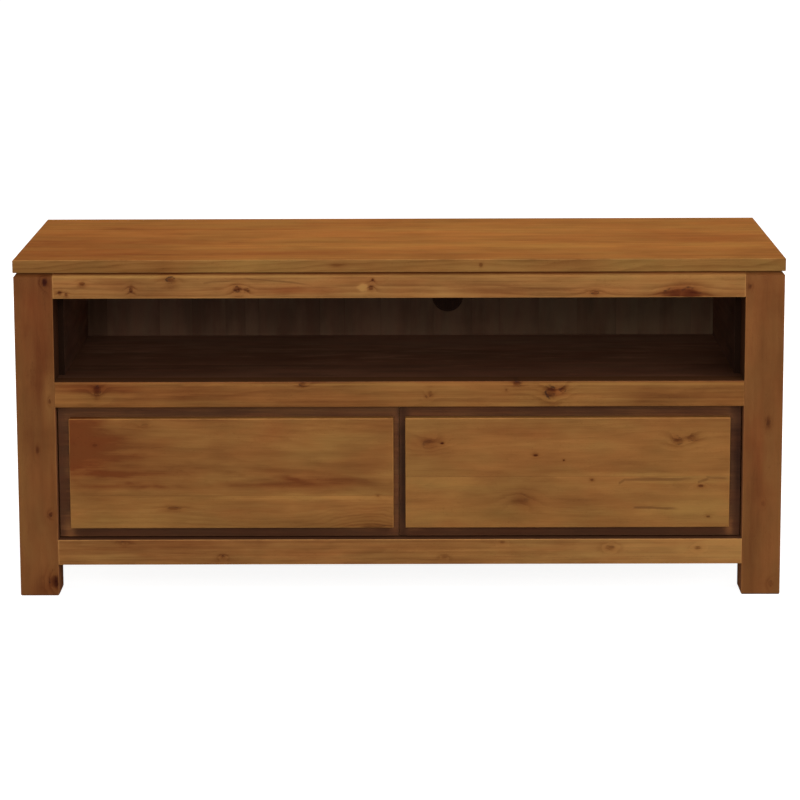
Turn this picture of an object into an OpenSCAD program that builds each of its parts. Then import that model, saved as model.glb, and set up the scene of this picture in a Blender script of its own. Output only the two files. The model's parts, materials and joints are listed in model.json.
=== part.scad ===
// Low cabinet in solid timber, with a full-width open niche over two drawers.
// Frame of posts and rails, mortised and tenoned. The drawer boxes are dovetailed,
// and their fronts are a raised board on a set-back board, which leaves a finger grip.
// The origin is the middle of the footprint on the floor. The front faces -Y.

/* [Outer size] */
// Width of the top board
body_w = 1300; // [1180:10:1500]
// Depth of the top board
body_d = 500; // [450:10:600]
// How far the top board stands past the posts
top_overhang = 1; // [0:0.5:12]

/* [Heights] */
// Clear height under the bottom rails
foot_h = 54; // [30:1:100]
// Height of every rail
rail_h = 44; // [40:1:60]
// Height of the drawer opening
drawer_open_h = 230; // [190:1:300]
// Height of the open niche
niche_open_h = 143; // [110:1:220]
// Thickness of the top board
top_t = 22; // [18:1:35]

/* [Frame] */
// Width of the square posts
leg_w = 66; // [65:1:80]
// Thickness of the rails
rail_t = 40; // [36:1:42]
// How far the rear rails lie in from the back of the posts
back_setback = 20; // [12:1:22]
// Chamfer under the top board, on the top rails and the posts
shadow_chamfer = 7; // [2:0.5:9]
// Radius of the eased edges on the posts
leg_ease = 2; // [0.5:0.5:4]
// Radius of the eased edges on the rails
rail_ease = 1.5; // [0.5:0.5:3]
// Radius of the eased edges on the top board
top_ease = 2; // [0.5:0.5:5]
// Bevel round the floor end of the posts
foot_bevel = 2; // [0.5:0.5:5]

/* [Joints in the frame] */
// Thickness of the tenons
tenon_t = 12; // [8:1:16]
// Length of the tenons
tenon_l = 30; // [20:1:34]
// Height of the shoulder above and below a tenon
tenon_shoulder = 10; // [9:0.5:14]
// Length of the short tenons on the shelf bearers
stub_l = 14; // [8:1:20]
// Depth of every groove
groove_d = 7; // [5:0.5:8]
// Thickness of the tongues on boards that meet a rail end on
tongue_t = 8; // [5:0.5:10]
// Depth of the housings for the divider and the niche walls
housing_d = 5; // [2:0.5:5]
// Clearance round a glued joint
glue_gap = 0.1; // [0.05:0.05:0.2]
// Room left at the bottom of a groove or mortise
groove_room = 0.5; // [0.3:0.1:0.9]

/* [Panels] */
// Thickness of the back panels
back_t = 12; // [6:1:14]
// How far the back panels lie behind the front face of the rear rails
back_inset = 10; // [9:1:14]
// Thickness of the end panels
end_panel_t = 12; // [6:1:14]
// Thickness of the niche shelf
shelf_t = 18; // [16:1:24]
// Thickness of the niche side walls
wall_t = 10; // [6:1:16]
// Thickness of the divider between the drawers
divider_t = 20; // [14:1:24]
// Diameter of the cable hole in the upper back panel
cable_hole_d = 57; // [40:1:80]
// Distance of the cable hole to the right of the middle
cable_hole_x = 87; // [-250:1:250]
// Height of the cable hole's centre over the shelf
cable_hole_z = 72; // [50:1:85]

/* [Battens and bearers] */
// Width of the shelf bearers
bearer_w = 27; // [22:1:32]
// Height of the battens behind the niche side walls
batten_h = 28; // [18:1:36]
// Width of the brace under the top board
brace_w = 40; // [30:1:60]
// Height of the brace under the top board
brace_h = 32; // [26:1:38]
// Number of wooden buttons along each top rail
button_count = 4; // [2:2:6]
// Width of a button
button_w = 30; // [24:1:40]
// Length of a button, without its tongue
button_l = 32; // [26:1:44]
// Height of the button tongues' upper face below the top board
button_drop = 12; // [9:0.5:14]

/* [Drawer fronts] */
// Thickness of the raised front
panel_t = 18; // [14:1:22]
// Thickness of the set-back front
sub_t = 18; // [14:1:20]
// Finger band between a raised front and the post
band_side = 22; // [14:1:40]
// Finger band between the two raised fronts
band_mid = 20; // [12:1:40]
// Finger band above the raised fronts
band_top = 19.5; // [14:0.5:40]
// Finger band below the raised fronts
band_bottom = 20; // [14:0.5:40]
// Gap between a set-back front and the post
gap_side = 2.5; // [2:0.5:6]
// Gap between the two set-back fronts
gap_mid = 1; // [1:0.5:5]
// Gap above the set-back fronts
gap_top = 2; // [1:0.5:5]
// Gap below the set-back fronts
gap_bottom = 2; // [1:0.5:5]
// Radius of the eased edges on the raised fronts
panel_ease = 2; // [0.5:0.5:4]

/* [Drawer boxes] */
// How far the set-back front laps past the box at each end
front_lap = 10; // [8:0.5:14]
// Thickness of the box sides
side_t = 12; // [10:1:16]
// Thickness of the box's own front
box_front_t = 14; // [12:1:18]
// Thickness of the box's back
box_back_t = 12; // [10:1:16]
// Thickness of the drawer bottom
bottom_t = 6; // [4:0.5:9]
// Height of the drawer bottom over the lower edge of the sides
bottom_lift = 8; // [6:0.5:12]
// Depth of the groove that holds the drawer bottom
bottom_groove = 6; // [4:0.5:8]
// How far the back's upper edge lies below the sides
back_drop = 10; // [0:1:30]
// Number of tails along the front corners
front_tails = 5; // [3:1:6]
// Number of tails along the back corners
back_tails = 4; // [2:1:5]
// Narrow width of a pin between two tails
pin_w = 8; // [5:0.5:12]
// Run of the tails' flare, as 1 in this many
tail_slope = 6; // [5:0.5:8]

/* [Drawer running] */
// Clearance between a drawer side and the runner below it
run_gap = 0.3; // [0.2:0.1:0.5]
// Clearance between a drawer and the kicker above it
kick_gap = 1.2; // [0.6:0.1:3]
// Clearance between a drawer side and its guide
guide_gap = 0.7; // [0.4:0.1:1.5]
// Clearance between a drawer and its stop
stop_gap = 0.3; // [0.2:0.1:0.6]
// Height of a kicker below the shelf
kicker_h = 40; // [24:1:60]
// Width of a kicker
kicker_w = 24; // [18:1:34]
// Thickness of the runners
runner_t = 22; // [18:1:30]
// How far a runner reaches in under its drawer
runner_reach = 24; // [18:1:34]
// Height of the guides on the outer runners
guide_h = 25; // [12:1:60]
// Length of a drawer stop along the travel
stop_l = 10; // [6:1:14]
// Height of a drawer stop
stop_h = 15; // [8:1:30]
// Space between a stop's front end and the rear rails
stop_room = 12; // [10:1:30]

/* [Screws] */
// Diameter of the screw shanks
screw_d = 4; // [3:0.5:5]
// Diameter of the screw heads
head_d = 8.5; // [7:0.5:10]
// Height of the screw heads
head_h = 2.8; // [2:0.1:4]
// How far the screws bite into the raised fronts and the top board
screw_bite = 11; // [6:0.5:12]

/* [Hidden] */

// Outer and inner faces of the frame
xOut = body_w / 2 - top_overhang;
yFront = -body_d / 2 + top_overhang;
yRear = -yFront;
xIn = xOut - leg_w;
yLegBack = yFront + leg_w;

// Levels, from the floor up
zBottomRail = foot_h;
zDrawer = zBottomRail + rail_h;
zMiddleRail = zDrawer + drawer_open_h;
zShelfTop = zMiddleRail + rail_h;
zTopRail = zShelfTop + niche_open_h;
zTopUnder = zTopRail + rail_h;
zTop = zTopUnder + top_t;
zShelf = zShelfTop - shelf_t;
zRearMiddle = zShelf - rail_h;

// Rails, back panels and end panels
yRailIn = yFront + rail_t;
yRearRail = yRear - back_setback - rail_t;
yBackPanel = yRearRail + back_inset;
xSideRail = xOut - rail_t;
xEndPanel = xOut - rail_t / 2 - end_panel_t / 2;
xShelfEnd = xEndPanel - groove_room;
tongueLen = groove_d - groove_room;
zButtonGroove = zTopUnder - button_drop - tongue_t;

// Drawer fronts
panelIn = band_mid / 2;
panelOut = xIn - band_side;
zPanelLow = zDrawer + band_bottom;
zPanelHigh = zMiddleRail - band_top;
yPanelBack = yFront + panel_t;
ySubBack = yPanelBack + sub_t;
subIn = gap_mid / 2;
subOut = xIn - gap_side;

// Drawer box: the lap at the middle clears the divider
boxOut = subOut - front_lap;
boxIn = divider_t / 2 + guide_gap;
yBoxInside = ySubBack + box_front_t;
yBoxEnd = yRearRail - stop_room;
yBackInside = yBoxEnd - box_back_t;
zBox = zDrawer + run_gap;
zKicker = zShelf - kicker_h;
zBoxTop = zKicker - kick_gap;
zBottom = zBox + bottom_lift;
zBackLow = zBottom + bottom_t + glue_gap;
zBackHigh = zBoxTop - back_drop;

// Runners and guides
xGuide = boxOut + guide_gap;
zRunner = zDrawer - runner_t;
zRunnerTongue = zRunner + (runner_t - tongue_t) / 2;

// Screws
screwR = screw_d / 2;
holeR = screwR + glue_gap;
buttonPitch = 2 * xIn / button_count;
buttonBoreY = button_l / 2;

topColour = [0.55, 0.36, 0.17];
railColour = [0.53, 0.35, 0.19];
legColour = [0.44, 0.27, 0.15];
frontColour = [0.50, 0.33, 0.17];
recessColour = [0.29, 0.18, 0.13];
innerColour = [0.33, 0.22, 0.14];
boxColour = [0.72, 0.58, 0.38];
steelColour = [0.62, 0.60, 0.55];

// Rectangle with its corners eased, from the origin
module easedRect(a, b, r) {
    translate([r, 0]) square([a - 2 * r, b]);
    translate([0, r]) square([a, b - 2 * r]);
    for (i = [r, a - r], j = [r, b - r]) translate([i, j]) circle(r, $fn = 24);
}

// A flat outline in Y and Z, drawn out along X
module alongX(x0, x1) {
    translate([x0, 0, 0]) rotate([90, 0, 90]) linear_extrude(x1 - x0) children();
}

// A flat outline in X and Z, drawn out along Y
module alongY(y0, y1) {
    translate([0, y1, 0]) rotate([90, 0, 0]) linear_extrude(y1 - y0) children();
}

// Plain sawn board between two corners
module board(low, high) {
    translate(low) cube(high - low);
}

// Board with all its edges eased
module easedBoard(low, high, r) {
    size = high - low;
    translate(low) intersection() {
        linear_extrude(size[2]) easedRect(size[0], size[1], r);
        alongX(0, size[0]) easedRect(size[1], size[2], r);
        alongY(0, size[1]) easedRect(size[0], size[2], r);
    }
}

// A tenon, or the mortise for it when grow is the clearance
module tenonAlongX(xShoulder, length, yMid, z0, grow) {
    translate([xShoulder - 1, yMid - tenon_t / 2 - grow, z0 + tenon_shoulder - grow])
        cube([length + 1, tenon_t + 2 * grow, rail_h - 2 * tenon_shoulder + 2 * grow]);
}

module tenonAlongY(yShoulder, length, xMid, thick, z0, z1, grow) {
    translate([xMid - thick / 2 - grow, yShoulder - length, z0 - grow])
        cube([thick + 2 * grow, length + 1, z1 - z0 + 2 * grow]);
}

// Post
// Left front post: eased section, chamfered at the shadow line, bevelled at the floor
module postBlank() {
    intersection() {
        translate([-xOut, yFront, 0]) linear_extrude(zTopUnder) easedRect(leg_w, leg_w, leg_ease);
        alongX(-xOut, -xIn) postProfile(yFront);
        alongY(yFront, yLegBack) postProfile(-xOut);
    }
}

// Upright outline of a post whose outer face is at a
module postProfile(a) {
    polygon([
        [a + foot_bevel, 0], [a + leg_w - foot_bevel, 0], [a + leg_w, foot_bevel],
        [a + leg_w, zTopUnder], [a + shadow_chamfer, zTopUnder],
        [a, zTopUnder - shadow_chamfer], [a, foot_bevel]
    ]);
}

// Mortises in the left front post for three rails that meet its inner face
module railMortises(yMid, levels) {
    for (z = levels)
        mirror([1, 0, 0]) tenonAlongX(xIn, tenon_l + groove_room, yMid, z, glue_gap);
}

// Cuts in the rear face of the left front post: end rails, end panel and shelf bearer
module endCuts() {
    railMid = -xOut + rail_t / 2;
    depth = tenon_l + groove_room;
    for (z = [zBottomRail, zTopRail])
        endTenon(-1, depth, z, glue_gap);
    translate([railMid - end_panel_t / 2 - glue_gap, yLegBack - groove_d, zDrawer - groove_d])
        cube([end_panel_t + 2 * glue_gap, groove_d + 1, zTopRail - zDrawer + 2 * groove_d]);
    bearerTenon(-1, stub_l + groove_room, glue_gap);
}

// Front tenon of an end rail whose lower edge is at z0, on the side given
module endTenon(side, length, z0, grow) {
    tenonAlongY(yLegBack, length, side * (xOut - rail_t / 2), tenon_t,
        z0 + tenon_shoulder, z0 + rail_h - tenon_shoulder, grow);
}

// Front tenon of a shelf bearer
module bearerTenon(side, length, grow) {
    tenonAlongY(yLegBack, length, side * (xEndPanel - bearer_w / 2), tenon_t,
        zRearMiddle + tenon_shoulder, zShelf - tenon_shoulder, grow);
}

module frontPost() {
    difference() {
        postBlank();
        railMortises(yFront + rail_t / 2, [zBottomRail, zMiddleRail, zTopRail]);
        endCuts();
    }
}

// Rear post, drawn at the front and turned round: its rails hold the back panels
module rearPost() {
    mirror([0, 1, 0]) difference() {
        postBlank();
        railMortises(-yRearRail - rail_t / 2, [zBottomRail, zRearMiddle, zTopRail]);
        endCuts();
        translate([-xIn - groove_d, -yBackPanel - back_t - glue_gap, zDrawer - groove_d])
            cube([groove_d + 1, back_t + 2 * glue_gap, zTopRail - zDrawer + 2 * groove_d]);
    }
}

module leg_front_left() { color(legColour) frontPost(); }
module leg_front_right() { color(legColour) mirror([1, 0, 0]) frontPost(); }
module leg_rear_left() { color(legColour) rearPost(); }
module leg_rear_right() { color(legColour) mirror([1, 0, 0]) rearPost(); }

// Top board
module top_panel() {
    color(topColour) difference() {
        easedBoard([-body_w / 2, -body_d / 2, zTopUnder], [body_w / 2, body_d / 2, zTop], top_ease);
        buttonBores(zTopUnder - 1, zTopUnder + screw_bite + groove_room);
    }
}

// Rails along X
// Section of a rail: eased on its outer face, with a chamfer on top where one is given
module railSection(yOuter, inward, z0, chamfer) {
    easedSide = [for (a = [0 : 30 : 90]) [1 - sin(a), 1 - cos(a)] * rail_ease];
    lower = [for (p = easedSide) [p[0], p[1]]];
    upper = chamfer > 0
        ? [[0, rail_h - chamfer], [chamfer, rail_h]]
        : [for (i = [len(easedSide) - 1 : -1 : 0]) [easedSide[i][0], rail_h - easedSide[i][1]]];
    outline = concat([[rail_t, 0]], lower, upper, [[rail_t, rail_h]]);
    translate([yOuter, z0]) mirror([inward > 0 ? 0 : 1, 0]) polygon(outline);
}

// A rail between two posts, with a tenon at each end
module crossRail(yOuter, inward, z0, chamfer) {
    alongX(-xIn, xIn) railSection(yOuter, inward, z0, chamfer);
    for (m = [0, 1]) mirror([m, 0, 0])
        tenonAlongX(xIn, tenon_l, yOuter + inward * rail_t / 2, z0, 0);
}

// Groove along a rail's inner face, one groove deep
module faceGroove(yFace, outward, z0) {
    depth = groove_d;
    y0 = outward > 0 ? yFace : yFace - depth;
    board([-xIn - 1, y0 - (outward > 0 ? 1 : 0), z0 - glue_gap],
        [xIn + 1, y0 + depth + (outward > 0 ? 0 : 1), z0 + tongue_t + glue_gap]);
}

// Groove for a back panel in a rail's edge, from z0 to z1
module backGroove(z0, z1) {
    board([-xIn - 1, yBackPanel - glue_gap, z0], [xIn + 1, yBackPanel + back_t + glue_gap, z1]);
}

module front_top_rail() {
    color(railColour) difference() {
        crossRail(yFront, 1, zTopRail, shadow_chamfer);
        faceGroove(yRailIn, -1, zButtonGroove);
    }
}

module front_middle_rail() {
    color(railColour) difference() {
        crossRail(yFront, 1, zMiddleRail, 0);
        faceGroove(yRailIn, -1, zShelf + (shelf_t - tongue_t) / 2);
    }
}

module front_bottom_rail() {
    color(railColour) difference() {
        crossRail(yFront, 1, zBottomRail, 0);
        faceGroove(yRailIn, -1, zRunnerTongue);
    }
}

module rear_top_rail() {
    color(railColour) difference() {
        crossRail(yRearRail + rail_t, -1, zTopRail, shadow_chamfer);
        faceGroove(yRearRail, 1, zButtonGroove);
        backGroove(zTopRail - 1, zTopRail + groove_d);
    }
}

module rear_middle_rail() {
    color(railColour) difference() {
        crossRail(yRearRail + rail_t, -1, zRearMiddle, 0);
        backGroove(zRearMiddle - 1, zRearMiddle + groove_d);
        backGroove(zShelf - groove_d, zShelf + 1);
    }
}

module rear_bottom_rail() {
    color(railColour) difference() {
        crossRail(yRearRail + rail_t, -1, zBottomRail, 0);
        faceGroove(yRearRail, 1, zRunnerTongue);
        backGroove(zDrawer - groove_d, zDrawer + 1);
    }
}

// Rails along Y, at the ends
module endRail(z0, chamfer, grooveLow, grooveHigh) {
    difference() {
        union() {
            alongY(yLegBack, -yLegBack) railSection(-xOut, 1, z0, chamfer);
            for (m = [0, 1]) mirror([0, m, 0]) endTenon(-1, tenon_l, z0, 0);
        }
        board([-xEndPanel - end_panel_t - glue_gap, yLegBack - 1, grooveLow],
            [-xEndPanel + glue_gap, -yLegBack + 1, grooveHigh]);
    }
}

module endTopRail() { endRail(zTopRail, shadow_chamfer, zTopRail - 1, zTopRail + groove_d); }
module endBottomRail() { endRail(zBottomRail, 0, zDrawer - groove_d, zDrawer + 1); }
module side_top_rail_left() { color(railColour) endTopRail(); }
module side_top_rail_right() { color(railColour) mirror([1, 0, 0]) endTopRail(); }
module side_bottom_rail_left() { color(railColour) endBottomRail(); }
module side_bottom_rail_right() { color(railColour) mirror([1, 0, 0]) endBottomRail(); }

// Panels held in grooves
module endPanel() {
    board([-xEndPanel - end_panel_t, yLegBack - tongueLen, zDrawer - tongueLen],
        [-xEndPanel, -yLegBack + tongueLen, zTopRail + tongueLen]);
}

module backPanel(z0, z1) {
    board([-xIn - tongueLen, yBackPanel, z0 - tongueLen],
        [xIn + tongueLen, yBackPanel + back_t, z1 + tongueLen]);
}

module end_panel_left() { color(legColour) endPanel(); }
module end_panel_right() { color(legColour) mirror([1, 0, 0]) endPanel(); }

module back_panel_upper() {
    color(innerColour) difference() {
        backPanel(zShelf, zTopRail);
        translate([cable_hole_x, yBackPanel - 1, zShelfTop + cable_hole_z]) rotate([-90, 0, 0])
            cylinder(d = cable_hole_d, h = back_t + 2, $fn = 64);
    }
}

module back_panel_lower() { color(innerColour) backPanel(zDrawer, zRearMiddle); }

// Niche
// Shelf: let in between the posts, tongued into the middle rail, housed for the divider
// below and for the side walls above
module niche_shelf() {
    color(innerColour) difference() {
        union() {
            board([-xIn, yRailIn, zShelf], [xIn, yBackPanel, zShelfTop]);
            board([-xShelfEnd, yLegBack, zShelf], [xShelfEnd, -yLegBack, zShelfTop]);
            board([-xIn, yRailIn - tongueLen, zShelf + (shelf_t - tongue_t) / 2],
                [xIn, yRailIn + 1, zShelf + (shelf_t + tongue_t) / 2]);
        }
        board([-divider_t / 2 - glue_gap, yRailIn, zShelf - 1],
            [divider_t / 2 + glue_gap, yRearRail, zShelf + housing_d]);
        for (m = [0, 1]) mirror([m, 0, 0])
            board([-xIn - glue_gap, yLegBack, zShelfTop - housing_d],
                [-xIn + wall_t + glue_gap, yRearRail + glue_gap, zShelfTop + 1]);
    }
}

module nicheWall() {
    board([-xIn, yLegBack, zShelfTop - housing_d], [-xIn + wall_t, yRearRail, zTopUnder]);
}

module wallBatten() {
    z0 = zTopRail + (rail_h - batten_h) / 2;
    board([-xSideRail, yLegBack, z0], [-xIn, -yLegBack, z0 + batten_h]);
}

module shelfBearer() {
    board([-xEndPanel, yLegBack, zRearMiddle], [-xEndPanel + bearer_w, -yLegBack, zShelf]);
    for (m = [0, 1]) mirror([0, m, 0]) bearerTenon(-1, stub_l, 0);
}

module niche_wall_left() { color(innerColour) nicheWall(); }
module niche_wall_right() { color(innerColour) mirror([1, 0, 0]) nicheWall(); }
module wall_batten_left() { color(boxColour) wallBatten(); }
module wall_batten_right() { color(boxColour) mirror([1, 0, 0]) wallBatten(); }
module shelf_bearer_left() { color(boxColour) shelfBearer(); }
module shelf_bearer_right() { color(boxColour) mirror([1, 0, 0]) shelfBearer(); }

// Under the top board
// A brace or runner between the front and rear rails, with a tongue at each end
module tonguedBoard(x0, x1, z0, z1, zTongue) {
    board([x0, yRailIn, z0], [x1, yRearRail, z1]);
    board([x0, yRailIn - tongueLen, zTongue], [x1, yRearRail + tongueLen, zTongue + tongue_t]);
}

module top_brace() {
    color(boxColour)
        tonguedBoard(-brace_w / 2, brace_w / 2, zTopUnder - brace_h, zTopUnder, zButtonGroove);
}

// Places of the buttons: along both top rails, each turned to its rail
module atButtons() {
    for (i = [0 : button_count - 1], m = [0, 1])
        mirror([0, m, 0])
            translate([(i - (button_count - 1) / 2) * buttonPitch, m == 0 ? yRailIn : -yRearRail, 0])
                children();
}

// Button: a block under the top board with a tongue in the rail's groove
module button() {
    difference() {
        union() {
            board([-button_w / 2, 0, zButtonGroove], [button_w / 2, button_l, zTopUnder]);
            board([-button_w / 2, -tongueLen, zButtonGroove],
                [button_w / 2, 1, zButtonGroove + tongue_t]);
        }
        translate([0, buttonBoreY, zButtonGroove - 1])
            cylinder(r = holeR, h = zTopUnder - zButtonGroove + 2, $fn = 24);
    }
}

module buttonBores(z0, z1) {
    atButtons() translate([0, buttonBoreY, z0]) cylinder(r = holeR, h = z1 - z0, $fn = 24);
}

// Pan-head screw: head below z = 0, shank upwards
module screw(length) {
    cylinder(r = screwR, h = length, $fn = 24);
    rotate_extrude($fn = 32) polygon([
        [0, 0], [head_d / 2, 0], [head_d / 2, -head_h * 0.4],
        [head_d * 0.4, -head_h * 0.8], [head_d * 0.2, -head_h], [0, -head_h]
    ]);
}

module top_buttons() { color(boxColour) atButtons() button(); }

module button_screws() {
    color(steelColour) atButtons()
        translate([0, buttonBoreY, zButtonGroove]) screw(zTopUnder - zButtonGroove + screw_bite);
}

// Carcass round the drawers
module centre_divider() {
    color(innerColour) board([-divider_t / 2, yRailIn, zDrawer - housing_d],
        [divider_t / 2, yRearRail, zShelf + housing_d - groove_room]);
}

module centre_runner() {
    half = divider_t / 2 + runner_reach;
    color(boxColour) difference() {
        tonguedBoard(-half, half, zRunner, zDrawer, zRunnerTongue);
        board([-divider_t / 2 - glue_gap, yRailIn - tongueLen - 1, zDrawer - housing_d],
            [divider_t / 2 + glue_gap, yRearRail + tongueLen + 1, zDrawer + 1]);
    }
}

module kicker(x0) {
    board([x0, yRailIn, zKicker], [x0 + kicker_w, yRearRail, zShelf]);
}

module centre_kickers() {
    color(boxColour) for (m = [0, 1]) mirror([m, 0, 0]) kicker(divider_t / 2);
}

module kicker_left() { color(boxColour) kicker(-xGuide); }
module kicker_right() { color(boxColour) mirror([1, 0, 0]) kicker(-xGuide); }

// Outer runner with the guide on it, let in round both posts
module outerRunner() {
    union() {
        tonguedBoard(-xIn, -xGuide + runner_reach, zRunner, zDrawer, zRunnerTongue);
        board([-xSideRail, yLegBack, zRunner], [-xIn + 1, -yLegBack, zDrawer]);
        board([-xIn, yRailIn, zDrawer - 1], [-xGuide, yRearRail, zDrawer + guide_h]);
        board([-xSideRail, yLegBack, zDrawer - 1], [-xIn + 1, -yLegBack, zDrawer + guide_h]);
    }
}

module runner_left() { color(boxColour) outerRunner(); }
module runner_right() { color(boxColour) mirror([1, 0, 0]) outerRunner(); }

// Stops on the runners behind each drawer side
module drawer_stops() {
    y0 = yBoxEnd + stop_gap;
    color(boxColour) for (m = [0, 1]) mirror([m, 0, 0]) {
        board([divider_t / 2, y0, zDrawer], [divider_t / 2 + runner_reach, y0 + stop_l, zDrawer + stop_h]);
        board([xGuide - runner_reach, y0, zDrawer], [xGuide, y0 + stop_l, zDrawer + stop_h]);
    }
}

// Drawers, drawn on the right and mirrored for the left
// Tails in Y and Z from the base line out to the board's end, wider at the end
module tails(yBase, yEnd, z0, z1, count, grow) {
    pitch = (z1 - z0) / count;
    out = yEnd > yBase ? 1 : -1;
    wide = (pitch - pin_w) / 2;
    narrow = wide - abs(yEnd - yBase) / tail_slope;
    for (i = [0 : count - 1]) {
        zMid = z0 + (i + 0.5) * pitch;
        low = [
            [yBase - out, zMid - narrow - grow], [yBase, zMid - narrow - grow],
            [yEnd + out * grow, zMid - wide - grow]
        ];
        high = [
            [yEnd + out * grow, zMid + wide + grow], [yBase, zMid + narrow + grow],
            [yBase - out, zMid + narrow + grow]
        ];
        outline = concat(low, high);
        polygon(out > 0 ? outline : [for (k = [len(outline) - 1 : -1 : 0]) outline[k]]);
    }
}

module frontTails(grow) { tails(yBoxInside, ySubBack, zBox, zBoxTop, front_tails, grow); }
module backTails(grow) { tails(yBackInside, yBoxEnd, zBackLow, zBackHigh, back_tails, grow); }

// Box side: tails at both ends, and a groove for the bottom in its inner face
module boxSide(x0, inward) {
    xGroove = inward > 0 ? x0 + side_t - bottom_groove : x0 - 1;
    difference() {
        alongX(x0, x0 + side_t) {
            translate([yBoxInside, zBox]) square([yBackInside - yBoxInside, zBoxTop - zBox]);
            translate([yBackInside - 1, zBox])
                square([yBoxEnd - yBackInside + 1, zBackLow - zBox - glue_gap]);
            frontTails(0);
            backTails(0);
        }
        board([xGroove, yBoxInside - bottom_groove, zBottom - glue_gap],
            [xGroove + bottom_groove + 1, yBoxEnd + 1, zBottom + bottom_t + glue_gap]);
    }
}

module boxFront() {
    difference() {
        board([boxIn, ySubBack, zBox], [boxOut, yBoxInside, zBoxTop]);
        alongX(boxIn - 1, boxIn + side_t + glue_gap) frontTails(glue_gap);
        alongX(boxOut - side_t - glue_gap, boxOut + 1) frontTails(glue_gap);
        board([boxIn + side_t - bottom_groove, yBoxInside - bottom_groove, zBottom - glue_gap],
            [boxOut - side_t + bottom_groove, yBoxInside + 1, zBottom + bottom_t + glue_gap]);
        frontBores(yBoxInside + 1, ySubBack - 1);
    }
}

module boxBack() {
    difference() {
        board([boxIn, yBackInside, zBackLow], [boxOut, yBoxEnd, zBackHigh]);
        alongX(boxIn - 1, boxIn + side_t + glue_gap) backTails(glue_gap);
        alongX(boxOut - side_t - glue_gap, boxOut + 1) backTails(glue_gap);
    }
}

module drawerBottom() {
    reach = bottom_groove - groove_room;
    board([boxIn + side_t - reach, yBoxInside - reach, zBottom],
        [boxOut - side_t + reach, yBoxEnd, zBottom + bottom_t]);
}

module setBackFront() {
    difference() {
        board([subIn, yPanelBack, zDrawer + gap_bottom], [subOut, ySubBack, zMiddleRail - gap_top]);
        frontBores(ySubBack + 1, yPanelBack - 1);
    }
}

module raisedFront() {
    difference() {
        easedBoard([panelIn, yFront, zPanelLow], [panelOut, yPanelBack, zPanelHigh], panel_ease);
        frontBores(yPanelBack + 1, yPanelBack - screw_bite - groove_room);
    }
}

// Two rows of three screws, clear of the box's corners and its bottom
module atFrontScrews() {
    margin = 45;
    rowInset = 40;
    for (x = [panelIn + margin, (panelIn + panelOut) / 2, panelOut - margin],
            z = [zPanelLow + rowInset, zPanelHigh - rowInset])
        translate([x, 0, z]) children();
}

// Bores from yStart forwards to yEnd
module frontBores(yStart, yEnd) {
    atFrontScrews() translate([0, yStart, 0]) rotate([90, 0, 0])
        cylinder(r = holeR, h = yStart - yEnd, $fn = 24);
}

module frontScrews() {
    atFrontScrews() translate([0, yBoxInside, 0]) rotate([90, 0, 0])
        screw(box_front_t + sub_t + screw_bite);
}

module raised_front_right() { color(frontColour) raisedFront(); }
module set_back_front_right() { color(recessColour) setBackFront(); }
module box_front_right() { color(boxColour) boxFront(); }
module box_back_right() { color(boxColour) boxBack(); }
module outer_side_right() { color(boxColour) boxSide(boxOut - side_t, -1); }
module inner_side_right() { color(boxColour) boxSide(boxIn, 1); }
module drawer_bottom_right() { color(boxColour) drawerBottom(); }
module front_screws_right() { color(steelColour) frontScrews(); }
module raised_front_left() { mirror([1, 0, 0]) raised_front_right(); }
module set_back_front_left() { mirror([1, 0, 0]) set_back_front_right(); }
module box_front_left() { mirror([1, 0, 0]) box_front_right(); }
module box_back_left() { mirror([1, 0, 0]) box_back_right(); }
module outer_side_left() { mirror([1, 0, 0]) outer_side_right(); }
module inner_side_left() { mirror([1, 0, 0]) inner_side_right(); }
module drawer_bottom_left() { mirror([1, 0, 0]) drawer_bottom_right(); }
module front_screws_left() { mirror([1, 0, 0]) front_screws_right(); }

top_panel();
leg_front_left();
leg_front_right();
leg_rear_left();
leg_rear_right();
front_top_rail();
front_middle_rail();
front_bottom_rail();
rear_top_rail();
rear_middle_rail();
rear_bottom_rail();
side_top_rail_left();
side_top_rail_right();
side_bottom_rail_left();
side_bottom_rail_right();
end_panel_left();
end_panel_right();
back_panel_upper();
back_panel_lower();
niche_shelf();
niche_wall_left();
niche_wall_right();
wall_batten_left();
wall_batten_right();
shelf_bearer_left();
shelf_bearer_right();
top_brace();
top_buttons();
button_screws();
centre_divider();
centre_runner();
centre_kickers();
runner_left();
runner_right();
kicker_left();
kicker_right();
drawer_stops();
raised_front_left();
set_back_front_left();
box_front_left();
box_back_left();
outer_side_left();
inner_side_left();
drawer_bottom_left();
front_screws_left();
raised_front_right();
set_back_front_right();
box_front_right();
box_back_right();
outer_side_right();
inner_side_right();
drawer_bottom_right();
front_screws_right();
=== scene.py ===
# Low cabinet in stained solid timber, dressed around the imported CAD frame.
# Materials work in millimetres on Object coordinates, turned so that U runs with the
# grain, V across the board's face and W through its thickness.
import json
import math

import bmesh
import bpy
import numpy as np
from mathutils import Matrix, Vector


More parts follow.
